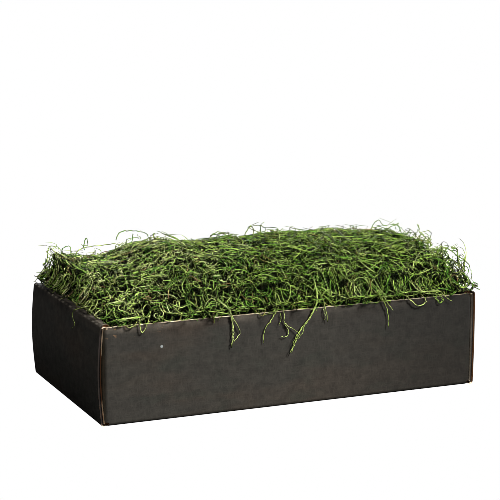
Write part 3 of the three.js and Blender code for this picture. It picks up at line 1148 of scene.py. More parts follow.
@dataclass
class HeapForm:
    """The heap's outer form: a lumpy crown above the rim and a body that fills the tray."""

    rim_z: float = 73.0
    rise: float = 29.2
    centre_x: float = 2.5
    half_x: float = 146.0
    half_y: float = 79.5
    end_shoulder: Shoulder = Shoulder(8.0, 0.4)
    side_shoulder: Shoulder = Shoulder(2.3, 0.56)
    swells: tuple[Swell, ...] = (
        Swell(-106.0, 14.0, -0.14), Swell(-70.0, 14.0, 0.14), Swell(30.0, 28.0, 0.07),
        Swell(108.0, 14.0, -0.05),
    )
    dip: CornerDip = CornerDip()
    rises: tuple[Rise, ...] = (
        Rise(-140.0, 66.0, 11.0, 8.0), Rise(145.0, -52.0, 13.0, 7.0), Rise(-110.0, 20.0, 18.0, -3.0),
        Rise(116.0, 12.0, 12.0, 2.0),
    )
    lumps: int = 330
    lump_height: float = 1.1
    lump_width: Span = (5.0, 9.0)
    lump_share: float = 0.7
    map_half_x: int = 160
    map_half_y: int = 95
    inside_x: float = 141.9
    inside_y: float = 77.5
    end_top_z: float = 73.0
    long_top_z: float = 71.0
    floor_z: float = 2.5
    clearance: float = 0.4
    sunk: Point = (2.5, 1.8, 0.8)
    spill: Span = (4.0, 2.5)
    spill_run: float = 5.0
    edge_gain: float = 4.0
    blend: float = 2.5
    probe: float = 1.5

    def __post_init__(self) -> None:
        """Maps the crown's height and steepness at every millimetre."""
        along = np.arange(-self.map_half_x, self.map_half_x + 1.0)
        across = np.arange(-self.map_half_y, self.map_half_y + 1.0)
        x, y = np.meshgrid(along, across, indexing="ij")
        swell = np.ones_like(x)
        for hump in self.swells:
            swell += hump.share * np.exp(-(((x - hump.x) / hump.width) ** 2))
        share = self.end_shoulder.height((x - self.centre_x) / self.half_x)
        share = share * self.side_shoulder.height(y / self.half_y)
        self.heights = self.rim_z + self.rise * share * swell * self.dip.keep(x, y)
        self.heights += self._lumpiness(x, y) * np.minimum(share, self.lump_share)
        for rise in self.rises:
            self.heights += rise.height(x, y) * np.minimum(self.edge_gain * share, 1)
        slope_x, slope_y = np.gradient(self.heights)
        self.steepness = np.sqrt(1 + slope_x ** 2 + slope_y ** 2)

    def _lumpiness(self, x: np.ndarray, y: np.ndarray) -> np.ndarray:
        """Draws small lumps and hollows all over the top.

        Args:
            x: Places along the tray.
            y: Places across the tray.

        Returns:
            The height that they add.
        """
        random = np.random.default_rng(SEED + 1)
        lumps = np.zeros_like(x)
        for _ in range(self.lumps):
            at_x, at_y = random.uniform(-self.half_x, self.half_x), random.uniform(-self.half_y, self.half_y)
            width = random.uniform(*self.lump_width)
            hump = np.exp(-((x - at_x) ** 2 + (y - at_y) ** 2) / width ** 2)
            lumps += random.normal(0, self.lump_height) * hump
        return lumps

    def read(self, mapped: np.ndarray, x: np.ndarray, y: np.ndarray) -> np.ndarray:
        """Reads a map between its millimetres.

        Args:
            mapped: The map.
            x: Places along the tray.
            y: Places across the tray.

        Returns:
            The values there.
        """
        column = np.clip(x + self.map_half_x, 0, mapped.shape[0] - 1.001)
        row = np.clip(y + self.map_half_y, 0, mapped.shape[1] - 1.001)
        i, j = column.astype(int), row.astype(int)
        u, v = column - i, row - j
        near = mapped[i, j] * (1 - u) + mapped[i + 1, j] * u
        far = mapped[i, j + 1] * (1 - u) + mapped[i + 1, j + 1] * u
        return near * (1 - v) + far * v

    def crown(self, x: np.ndarray, y: np.ndarray) -> np.ndarray:
        """Height of the heap's top."""
        return self.read(self.heights, x, y)

    def depth(self, points: np.ndarray) -> np.ndarray:
        """How deep points lie inside the form, negative outside it.

        Args:
            points: The points, with their coordinates in the last axis.

        Returns:
            The depths.
        """
        x, y, z = points[..., 0], points[..., 1], points[..., 2]
        under_top = (self.crown(x, y) - z) / self.read(self.steepness, x, y)
        above = np.clip((z - self.rim_z + 1) / self.spill_run, 0, 1)
        above = above * above * (3 - 2 * above)
        wide_x = (self.half_x + self.spill[0] - self.inside_x) * above
        wide_y = (self.half_y + self.spill[1] - self.inside_y) * above
        room_x = self.inside_x - self.sunk[0] + wide_x - np.abs(x - above * self.centre_x)
        room_y = self.inside_y - self.sunk[1] + wide_y - np.abs(y)
        room_z = z - self.floor_z - self.sunk[2]
        rooms = np.stack([under_top, room_x, room_y, room_z])
        least = rooms.min(0)
        return least - self.blend * np.log(np.exp(-(rooms - least) / self.blend).sum(0))

    def outward(self, points: np.ndarray) -> np.ndarray:
        """Unit vectors out of the form at points."""
        slopes = [self.depth(points - move) - self.depth(points + move) for move in np.eye(3) * self.probe]
        return unit(np.stack(slopes, axis=-1))

    def clear_of_board(self, points: np.ndarray, radii: np.ndarray) -> np.ndarray:
        """Moves points of strands that stay in the tray clear of its walls and bottom.

        Args:
            points: The points.
            radii: The strands' radii there.

        Returns:
            The moved points.
        """
        moved = points.copy()
        room = radii + self.clearance
        moved[..., 2] = np.maximum(moved[..., 2], self.floor_z + room)
        for axis, inside, top in ((0, self.inside_x, self.end_top_z), (1, self.inside_y, self.long_top_z)):
            over = np.abs(moved[..., axis]) - (inside - room)
            under = top + room - moved[..., 2]
            hit = (over > 0) & (under > 0)
            inwards = hit & (over <= under)
            upwards = hit & (over > under)
            sign = np.sign(moved[..., axis])
            moved[..., axis] = np.where(inwards, sign * (inside - room), moved[..., axis])
            moved[..., 2] = np.where(upwards, top + room, moved[..., 2])
        return moved


@dataclass(frozen=True)
class StrandKind:
    """Sizes and habit of one kind of strand."""

    length: Span
    rings: int
    radius: Span
    curl: float
    curl_run: float = 10.0
    lift: float = 0.8
    loop: Span = (0.0, 0.0)
    tip_share: float = 0.35
    taper: float = 2.2


@dataclass
class Strands:
    """Strands of one kind: their middle lines, radii and shades."""

    points: np.ndarray
    radii: np.ndarray
    tone: np.ndarray
    shade: np.ndarray

    @property
    def count(self) -> int:
        """How many strands there are."""
        return len(self.points)

    @property
    def rings(self) -> int:
        """How many rings each strand has."""
        return self.points.shape[1]

    @property
    def triangles(self) -> int:
        """How many triangles they come to as closed three-sided tubes."""
        return self.count * (6 * (self.rings - 1) + 2)

    def part(self, chosen: np.ndarray) -> "Strands":
        """Some of the strands."""
        return Strands(self.points[chosen], self.radii[chosen], self.tone[chosen], self.shade[chosen])


@dataclass(frozen=True)
class LeftShare:
    """How far a place lies into the heap's left end, from 0 to 1."""

    start_x: float
    run: float

    def at(self, x: np.ndarray) -> np.ndarray:
        """The share at places along the tray."""
        return np.clip((self.start_x - x) / self.run, 0, 1)


@dataclass
class StrandWalker:
    """Lets strands curl through the heap at a chosen depth under its surface."""

    form: HeapForm
    random: np.random.Generator
    loose_steer: float = 0.04
    firm_steer: float = 0.12
    stray_run: float = 3.0
    settle: float = 5.0
    steepest: float = 0.9
    roll: float = 1.25
    left: LeftShare = LeftShare(-40.0, 60.0)
    left_crinkle: float = 0.6
    left_loop: float = 0.5
    left_thick: float = 0.12
    highest: float = 4.4
    farthest: float = 7.0
    pressed: float = 0.45
    side_x: float = 148.0
    side_pressed: float = 0.7
    smoothings: int = 2

    def walk(self, kind: StrandKind, starts: np.ndarray, headings: np.ndarray,
             depths: np.ndarray) -> np.ndarray:
        """Walks one strand from every start.

        Args:
            kind: The kind of strand.
            starts: Where they start.
            headings: Where they head first.
            depths: The depths that they settle at.

        Returns:
            The points of every strand.
        """
        count = len(starts)
        step = (self.random.uniform(*kind.length, count) / (kind.rings - 1))[:, None]
        keep = np.exp(-step / kind.curl_run)
        left = self.left.at(starts[:, :1])
        sizes = kind.curl * np.array([1.0, kind.lift]) * (1 + self.left_crinkle * left)
        curl = self.random.normal(size=(count, 2)) * sizes
        bend = self.random.uniform(*kind.loop, count) * self.random.choice([-1.0, 1.0], count)
        bend = bend * (1 + self.left_loop * left[:, 0])
        roll = self.random.normal(0.0, self.roll, count)
        loop = np.stack([bend * np.cos(roll), bend * np.sin(roll)], axis=-1)
        place, heading = starts, unit(headings)
        points = [place]
        for _ in range(kind.rings - 1):
            heading = unit(heading + step * self._turn(place, heading, curl + loop, depths))
            place = place + step * heading
            points.append(place)
            curl = curl * keep + self.random.normal(size=(count, 2)) * sizes * np.sqrt(1 - keep ** 2)
        return self._pressed_in(np.stack(points, axis=1))

    def _turn(self, place: np.ndarray, heading: np.ndarray, bent: np.ndarray,
              depths: np.ndarray) -> np.ndarray:
        """Works out how headings turn for each millimetre.

        Args:
            place: Where the strands are.
            heading: Where they head.
            bent: How much they bend sideways and away from the surface.
            depths: The depths that they settle at.

        Returns:
            The turns.
        """
        out = self.form.outward(place)
        side = unit(np.cross(out, heading))
        lift = np.cross(heading, side)
        over = self.form.depth(place) - depths
        wanted = np.clip(over / self.settle, -self.steepest, self.steepest)
        stray = np.clip(-over / self.stray_run, 0, 1)
        steer = self.loose_steer + (self.firm_steer - self.loose_steer) * stray
        rising = (heading * out).sum(-1)
        return bent[:, :1] * side + bent[:, 1:] * lift + (steer * (wanted - rising))[:, None] * out

    def _pressed_in(self, line: np.ndarray) -> np.ndarray:
        """Brings strands that stand too far out of the heap back to it, and smooths them.

        Args:
            line: The strands' points.

        Returns:
            The moved points.
        """
        for limit, share in ((self.farthest, 1.0), (self.farthest, 1.0), (self.highest, self.pressed)):
            beyond = np.clip(-self.form.depth(line) - limit, 0, None)
            line = line - self.form.outward(line) * (share * beyond)[..., None]
        aside = np.clip(np.abs(line[..., 0]) - self.side_x, 0, None)
        line[..., 0] -= self.side_pressed * aside * np.sign(line[..., 0])
        for _ in range(self.smoothings):
            line[:, 1:-1] = 0.5 * line[:, 1:-1] + 0.25 * (line[:, :-2] + line[:, 2:])
        return line

    def radii(self, kind: StrandKind, count: int) -> np.ndarray:
        """Radii along strands of a kind, tapered to the tip.

        Args:
            kind: The kind of strand.
            count: How many strands there are.

        Returns:
            The radii.
        """
        along = np.linspace(0, 1, kind.rings)[None]
        size = self.random.uniform(*kind.radius, (count, 1))
        return size * (kind.tip_share + (1 - kind.tip_share) * (1 - along ** kind.taper))


@dataclass
class Overcast:
    """Darkens strands by the moss that lies over them."""

    form: HeapForm
    low: Point = (-170.0, -100.0, -5.0)
    cells: tuple[int, int, int] = (340, 200, 145)
    soft_share: float = 0.06
    reach: int = 9
    first_step: float = 1.2
    strength: float = 10.0
    power: float = 1.5
    left: LeftShare = LeftShare(-50.0, 50.0)
    left_cleared: float = 0.45
    darkest: float = 0.02

    def cell_of(self, points: np.ndarray) -> tuple[np.ndarray, ...]:
        """Numbers along each axis of the millimetre cells that points lie in."""
        number = np.floor(points - np.array(self.low)).astype(int)
        return tuple(np.moveaxis(np.clip(number, 0, np.array(self.cells) - 1), -1, 0))

    def cover(self, groups: Sequence[Strands]) -> np.ndarray:
        """Works out how much strand lies in each cell, softened over its neighbours.

        Args:
            groups: The strands.

        Returns:
            The cover of each cell.
        """
        cover = np.zeros(self.cells)
        for group in groups:
            starts, ends = group.points[:, :-1], group.points[:, 1:]
            weight = group.radii[:, :-1] * np.linalg.norm(ends - starts, axis=-1)
            for share in (0.25, 0.75):
                np.add.at(cover, self.cell_of(starts + share * (ends - starts)), weight)
        around = sum(np.roll(cover, step, axis) for axis in range(3) for step in (-1, 1))
        return (1 - 6 * self.soft_share) * cover + self.soft_share * around

    def shade(self, groups: Sequence[Strands]) -> None:
        """Sets the shade of every strand.

        Args:
            groups: The strands, which are changed.
        """
        cover = self.cover(groups)
        for group in groups:
            out = self.form.outward(group.points)
            over = np.zeros(group.points.shape[:2])
            for step in range(self.reach):
                over += cover[self.cell_of(group.points + out * (self.first_step + step))]
            strength = self.strength * (1 - self.left_cleared * self.left.at(group.points[..., 0]))
            # Painted shade: kept at the strands' points and multiplied into their colour.
            group.shade = group.shade * np.maximum(np.exp(-strength * over ** self.power), self.darkest)


@dataclass(frozen=True)
class Trace:
    """One loose strand by the places it passes: thickest at its first point, thin at its last."""

    points: tuple[Point, ...]
    radius: float = 0.5
    tone: float = 0.85
    twins: int = 1
    rings_per_run: int = 6
    crinkle: float = 0.22
    crinkle_shares: Point = (1.0, 0.4, 1.0)
    twist: float = 0.75
    twist_shares: Point = (1.0, -0.3, 0.5)
    twist_run: float = 9.0
    tone_spread: float = 0.06
    twin_lag: float = 2.5
    # Painted shade that swings along the strand as it twists.
    shade: float = 0.84
    shade_swing: float = 0.22
    shade_run: float = 2.6

    @staticmethod
    def upright(y: float, places: Iterable[tuple[float, float]], radius: float, tone: float) -> "Trace":
        """A strand in an upright plane across the tray, by the X and Z of its places."""
        return Trace(tuple((x, y, z) for x, z in places), radius, tone)

    def middle(self) -> np.ndarray:
        """Draws a smooth line through the places.

        Returns:
            The line's points.
        """
        knots = np.array(self.points)
        knots = np.concatenate([2 * knots[:1] - knots[1:2], knots, 2 * knots[-1:] - knots[-2:-1]])
        share = np.linspace(0, 1, self.rings_per_run, endpoint=False)[:, None]
        runs = []
        for before, start, end, after in zip(knots, knots[1:], knots[2:], knots[3:]):
            bend = 2 * before - 5 * start + 4 * end - after
            swing = 3 * start - before - 3 * end + after
            runs.append(start + 0.5 * (share * (end - before) + share ** 2 * bend + share ** 3 * swing))
        return np.concatenate([*runs, knots[-2:-1]])

    def strands(self) -> Strands:
        """Makes the strand, or twins that twist about each other.

        Returns:
            The strands.
        """
        line = self.middle()
        random = np.random.default_rng(int(1000 + 10 * abs(line[-1, 0])))
        length = np.concatenate([[0], np.cumsum(np.linalg.norm(np.diff(line, axis=0), axis=1))])
        along = length / length[-1]
        apart = self.twist * along ** 0.5 * (self.twins > 1)
        points = []
        for twin in range(self.twins):
            angle = 2 * math.pi * (length / self.twist_run + twin / self.twins)
            offset = np.stack([np.cos(angle), np.sin(angle), np.sin(angle)], axis=-1) * self.twist_shares
            crinkle = random.normal(0, self.crinkle, line.shape) * self.crinkle_shares
            points.append(line + apart[:, None] * offset + crinkle)
        radii = np.repeat(self.radius * (1 - 0.5 * along[None] ** 2), self.twins, axis=0)
        tone = np.clip(self.tone + random.normal(0, self.tone_spread, self.twins), 0, 1)
        wave = length[None] / self.shade_run + self.twin_lag * np.arange(self.twins)[:, None] + length[-1]
        return Strands(np.stack(points), radii, tone, self.shade + self.shade_swing * np.sin(wave))


# Sprigs that hang over the front wall and the left end
HANGING = (
    Trace(((-63, -66, 86), (-59.4, -79, 82), (-55, -82, 78), (-52.1, -81.6, 73), (-50.5, -81.4, 61.2),
           (-51.3, -81.6, 49.1)), 0.6, 0.85, 2),
    Trace(((-52.1, -81.6, 73), (-45.5, -81.8, 60), (-47, -81.6, 56.1), (-51.3, -81.5, 51)), 0.5),
    Trace(((-11, -72, 76), (-14.5, -80.2, 74), (-18.5, -81.6, 69.5), (-21.1, -81.4, 65.2),
           (-26.1, -81.4, 58.2), (-26.7, -81.6, 49.4)), 0.55, 0.7),
    Trace(((-9, -74, 75), (-10.9, -80.4, 73.4), (-10.4, -81.5, 69), (-10, -81.4, 62.2), (-6.9, -81.4, 56.5),
           (-8.3, -81.5, 52.5), (-12.8, -81.6, 52.6)), 0.5, 0.9),
    Trace(((-13.5, -81.2, 70), (-13, -81.4, 66), (-14.5, -81.5, 61)), 0.4, 0.75),
    Trace(((-10, -81.4, 62.2), (-4.4, -81.5, 58.5), (1.3, -81.9, 54.2)), 0.45, 0.85),
    Trace(((19, -68, 92), (17, -78, 84), (15.3, -81.9, 76), (10.8, -81.6, 65.9), (3.4, -81.6, 56.9),
           (-1, -81.8, 49), (-5.4, -82.2, 39.7)), 0.65, 0.88, 2),
    Trace(((16, -70, 90), (20.3, -79, 80.5), (22.7, -81.8, 70.4), (24.3, -81.8, 60.5)), 0.5, 0.8),
    Trace(((22, -80.6, 74), (21.4, -81.8, 68), (23, -81.8, 64), (21.8, -81.8, 62)), 0.4, 0.8),
    Trace(((17, -76, 86), (13.5, -80, 85), (9.5, -81, 88), (5, -78, 91)), 0.42, 0.8),
    Trace(((17, -76, 86), (21, -80, 86), (25, -81, 82), (26.5, -81.5, 76)), 0.42, 0.75),
    Trace(((17, -76, 86), (15.5, -78, 91), (12, -77, 97)), 0.42, 0.85),
    Trace(((3.4, -81.6, 56.9), (-0.5, -82.5, 53), (-4.2, -82.6, 47)), 0.45, 0.85),
    Trace(((10.8, -81.6, 65.9), (5.5, -82.5, 60), (3.5, -82.7, 54), (-1, -82.7, 49.5)), 0.45, 0.9),
    Trace(((61, -68, 88), (65.9, -78.5, 81), (70, -81.8, 73), (74.7, -81.4, 61.6), (74.9, -81.8, 51.7)),
           0.6, 0.75),
    Trace(((66, -68, 85), (71.5, -80, 75.5), (75, -81.6, 69), (78.6, -82, 64.1)), 0.5, 0.85),
    Trace(((86, -72, 79), (90.9, -80.5, 73.5), (94.9, -82, 69.7), (99.7, -82, 65.8), (105.2, -82, 67.4),
           (106.2, -81, 71), (103, -77, 74.5)), 0.6, 0.95),
    Trace(((112, -72, 75), (115.7, -80, 70.5), (118.4, -81.8, 66.5), (120.9, -81.5, 69), (118, -79, 74)),
           0.3, 0.6, 2),
    Trace(((114, -72, 80), (118.5, -79.5, 75.5), (124, -81.8, 70.5), (129.1, -82.2, 66.8)), 0.45, 0.8),
    Trace(((-137, -74, 76), (-132.5, -80.5, 73), (-129.4, -82, 70.2), (-124.2, -81, 72.2), (-120, -76, 76)),
           0.5, 0.72),
    Trace(((-123, -70, 82), (-121.6, -79.5, 78), (-121.1, -81.8, 69.4), (-119.1, -81.9, 65.7),
           (-114.8, -80.8, 73.2), (-110, -74, 80)), 0.55, 0.76),
    Trace(((-71, -72, 77), (-68.2, -80, 74), (-66.1, -81.6, 71.3), (-61.8, -80.6, 73.4), (-58, -74, 76)),
           0.5),
    Trace(((-33, -72, 75), (-30.1, -80.8, 71.4), (-27.5, -81.6, 69.6), (-25.1, -80.8, 71.8),
           (-22, -74, 75)), 0.5, 0.1),
    Trace(((-124, -47, 84), (-140, -44, 80), (-151, -37, 76.5), (-153.6, -31.1, 73), (-153.6, -28.5, 69.4),
           (-154, -35.6, 65.5), (-154.2, -34, 63.2), (-154.4, -27, 59.2)), 0.55, 0.8),
)

# Wisps that stand out of the crown's top
WISPS = (
    Trace.upright(40.5, ((-96, 109), (-91.7, 115.4), (-82, 115.1), (-74.7, 114.2), (-70.6, 111.6),
                         (-67, 105)), 0.45, 0.3),
    Trace.upright(45, ((-80.4, 112.3), (-81.3, 107.7), (-82.2, 102)), 0.42, 0.25),
    Trace.upright(39.5, ((-121.8, 104), (-121.8, 108.5), (-120.1, 112.2), (-118.6, 109), (-119.4, 106.8),
                         (-124.2, 107.9)), 0.42, 0.2),
    Trace.upright(47.5, ((-127, 96), (-124, 101.9), (-115.2, 104.3), (-101.5, 104.9), (-91, 104.5),
                         (-84, 100)), 0.45, 0.6),
    Trace.upright(61.5, ((-144, 95), (-143.5, 100.2), (-141.9, 103.9), (-135.5, 102.7), (-133.2, 99.4),
                         (-137, 97)), 0.45, 0.5),
    Trace.upright(52, ((-136, 96), (-135.3, 101.2), (-133.7, 104.2), (-128.9, 104.6), (-129, 98)), 0.42,
                       0.35),
    Trace.upright(36.5, ((-21.5, 100), (-20.8, 103.9), (-19.1, 107.7), (-12.4, 110.8), (-4.8, 105.9),
                         (-1, 101)), 0.42, 0.55),
    Trace.upright(36, ((9, 106), (13.8, 112.6), (23.3, 113.2), (29, 108)), 0.42, 0.15),
    Trace.upright(27, ((112, 100), (116.2, 105.3), (118.8, 110), (123.3, 112.1), (127.9, 107)), 0.42, 0.5),
    Trace.upright(-22.5, ((130.6, 116.5), (132.5, 113.2), (133.4, 109.7), (139.8, 104), (143.5, 98)), 0.45,
                          0.6),
    Trace.upright(-74, ((118, 100), (121.9, 107.4), (125.4, 107.1), (131.5, 104.4), (136.8, 100.1),
                        (146.6, 93.5), (148.5, 89.1), (150.4, 83.2), (147.9, 78)), 0.5, 0.7),
)

# Paler strands and loops that lie on top of the heap towards the front
LYING = (
    Trace(((72.5, -51, 104.1), (70.1, -54, 103), (67.4, -55.5, 102.3), (65.1, -55.5, 102.5),
           (64.4, -53.5, 103.3), (65.3, -50.5, 104.3), (67.1, -48, 105.4), (69.6, -46, 105.9),
           (71.5, -46, 105.8), (72.2, -47.5, 105.3), (71.6, -50, 104.4), (70, -52.5, 103.7),
           (68.3, -53.5, 103.1), (66.6, -54, 103.1), (66, -53, 103.5), (66.4, -51, 104.1),
           (67.3, -49.5, 104.8), (68.9, -48, 105.2), (70.5, -48.5, 104.9)), 0.5, 0.95, rings_per_run=3,
           crinkle=0.1),
    Trace(((101.5, -69, 91), (106.2, -63.5, 96), (115.5, -54.5, 99.9), (126.1, -48, 101.1),
           (129.2, -53.5, 98.7), (127.6, -62.5, 95), (123, -68, 90)), 0.6, 0.95),
    Trace(((63, 10, 109.9), (56.5, -20.5, 110.8), (52.6, -42, 107.9), (52.9, -55, 103.3), (54.1, -66, 95)),
           0.5, 0.6, crinkle=0.1),
    Trace(((78, 12.5, 110), (68.2, -21, 110.2), (65.2, -40.5, 107.5), (65.2, -50, 102.6)), 0.5, 0.75,
           crinkle=0.1),
    Trace(((92.3, -44.5, 103.4), (103.7, -34.5, 106), (112.5, -29.5, 106), (118, -32.5, 103.4)), 0.55,
           0.85),
    Trace(((92.3, -44.5, 103.4), (100.8, -41.5, 105), (106.1, -44.5, 103.6), (108.5, -52, 99.4)), 0.5, 0.8),
    Trace(((92.3, -44.5, 103.4), (94.3, -50.5, 103.2), (95.2, -58.5, 99.9), (94.9, -66, 93.8)), 0.5, 0.7),
    Trace(((45.8, -79.2, 77), (45.3, -77.2, 84.2), (50.9, -74.5, 88.9), (57, -74, 89.1), (60.7, -76.2, 85),
           (59.3, -79, 79.6), (53.8, -79.5, 76)), 0.55, 0.85),
    Trace(((59.6, -79.5, 75), (62.2, -78, 81.5), (62.9, -75.2, 87.4), (58.5, -71, 90)), 0.5, 0.6),
    Trace(((46.5, -69, 92), (43.8, -65, 98.2), (37.4, -64.5, 98.6), (31.3, -68.5, 95.3), (30.6, -74, 89.8),
           (36.5, -75, 86)), 0.5, 0.7),
    Trace(((81.7, -51.5, 103.5), (90.5, -44.5, 105.5), (99.3, -28, 107.5), (101.4, -14, 108.2),
           (88, -29.5, 108.6), (79.9, -43.5, 105.5)), 0.5, 0.65),
)


@dataclass
class Heart:
    """The inside of the heap under the strands, coloured near-black as painted shade."""

    form: HeapForm
    depth: float = 13.0
    inset: float = 9.0
    foot: float = 6.0
    shoulder: float = 10.0
    cuts: int = 31
    rumple: float = 0.8
    smoothing: float = 0.4

    def build(self, effects: SharedEffects, random: np.random.Generator) -> bpy.types.Object:
        """Builds the heart and dresses it.

        Args:
            effects: The shared node groups.
            random: Where its rumples are drawn from.

        Returns:
            The piece.
        """
        form = self.form
        bm = bmesh.new()
        bmesh.ops.create_cube(bm, size=2.0)
        bmesh.ops.subdivide_edges(bm, edges=bm.edges[:], cuts=self.cuts, use_grid_fill=True)
        bottom = form.floor_z + self.foot
        for vert in bm.verts:
            x, y = vert.co.x * (form.inside_x - self.inset), vert.co.y * (form.inside_y - self.inset)
            top = float(form.crown(np.array(x), np.array(y))) - self.depth
            vert.co = (x, y, bottom + (top - bottom) * (vert.co.z + 1) / 2)
        for vert in bm.verts:
            point = np.array(vert.co)[None]
            short = self.depth - float(form.depth(point)[0])
            if short > 0 and vert.co.z > form.rim_z - self.shoulder:
                vert.co -= Vector(form.outward(point)[0]) * short
        for vert, move in zip(bm.verts, random.normal(0.0, self.rumple, (len(bm.verts), 3))):
            vert.co += Vector(move)
        bmesh.ops.smooth_vert(bm, verts=bm.verts[:], factor=self.smoothing, use_axis_x=True, use_axis_y=True,
                              use_axis_z=True)
        bmesh.ops.recalc_face_normals(bm, faces=bm.faces[:])
        mesh = new_mesh("moss_heart_painted_shade", bm, MM)
        mesh.materials.append(PaintedShadeHeart().material(effects))
        return finished_piece(linked("moss_heart_painted_shade", mesh), [MOSS_NODE])


@dataclass
class StrandMesh:
    """Turns strands into one mesh of tapered tubes, with their tones kept at its points."""

    name: str
    sides: int = 3

    def _profile(self) -> bpy.types.Object:
        """Draws the cross-section that runs along every strand.

        Returns:
            The closed curve's object.
        """
        profile = bpy.data.curves.new("strand_profile", "CURVE")
        ring = profile.splines.new("POLY")
        ring.points.add(self.sides - 1)
        ring.use_cyclic_u = True
        for i, point in enumerate(ring.points):
            angle = 2 * math.pi * i / self.sides
            point.co = (MM * math.cos(angle), MM * math.sin(angle), 0.0, 1.0)
        return linked("strand_profile", profile)

    def _tubes(self, groups: Sequence[Strands]) -> bpy.types.Mesh:
        """Runs the cross-section along the strands.

        Args:
            groups: The strands.

        Returns:
            The open tubes.
        """
        profile = self._profile()
        curve = bpy.data.curves.new(self.name, "CURVE")
        curve.dimensions = "3D"
        curve.bevel_mode = "OBJECT"
        curve.bevel_object = profile
        for group in groups:
            for points, radii in zip(group.points, group.radii):
                spline = curve.splines.new("POLY")
                spline.points.add(len(points) - 1)
                co = np.column_stack([points * MM, np.ones(len(points))]).astype(np.float32)
                spline.points.foreach_set("co", co.ravel())
                spline.points.foreach_set("radius", radii.astype(np.float32))
        mesh = to_mesh(linked(self.name, curve), self.name)
        bpy.data.curves.remove(curve)
        bpy.data.curves.remove(profile.data)
        return mesh

    def build(self, groups: Sequence[Strands]) -> bpy.types.Mesh:
        """Makes the mesh.

        Args:
            groups: The strands.

        Returns:
            The mesh.
        """
        mesh = self._tubes(groups)
        kept = {
            "tone": [np.repeat(g.tone, g.rings) for g in groups],
            "along": [np.tile(np.linspace(0, 1, g.rings), g.count) for g in groups],
            "shade": [g.shade.ravel() for g in groups],
        }
        for key, values in kept.items():
            spread = np.repeat(np.concatenate(values), self.sides).astype(np.float32)
            mesh.attributes.new(key, "FLOAT", "POINT").data.foreach_set("value", spread)
        bm = bmesh.new()
        bm.from_mesh(mesh)
        bmesh.ops.holes_fill(bm, edges=[e for e in bm.edges if e.is_boundary], sides=self.sides)
        bmesh.ops.recalc_face_normals(bm, faces=bm.faces[:])
        bm.to_mesh(mesh)
        bm.free()
        mesh.polygons.foreach_set("use_smooth", np.ones(len(mesh.polygons), bool))
        return mesh


# Steps that spread points evenly over a square, however many there are
EVEN_STEPS = np.array([[0.754877666], [0.569840291]])


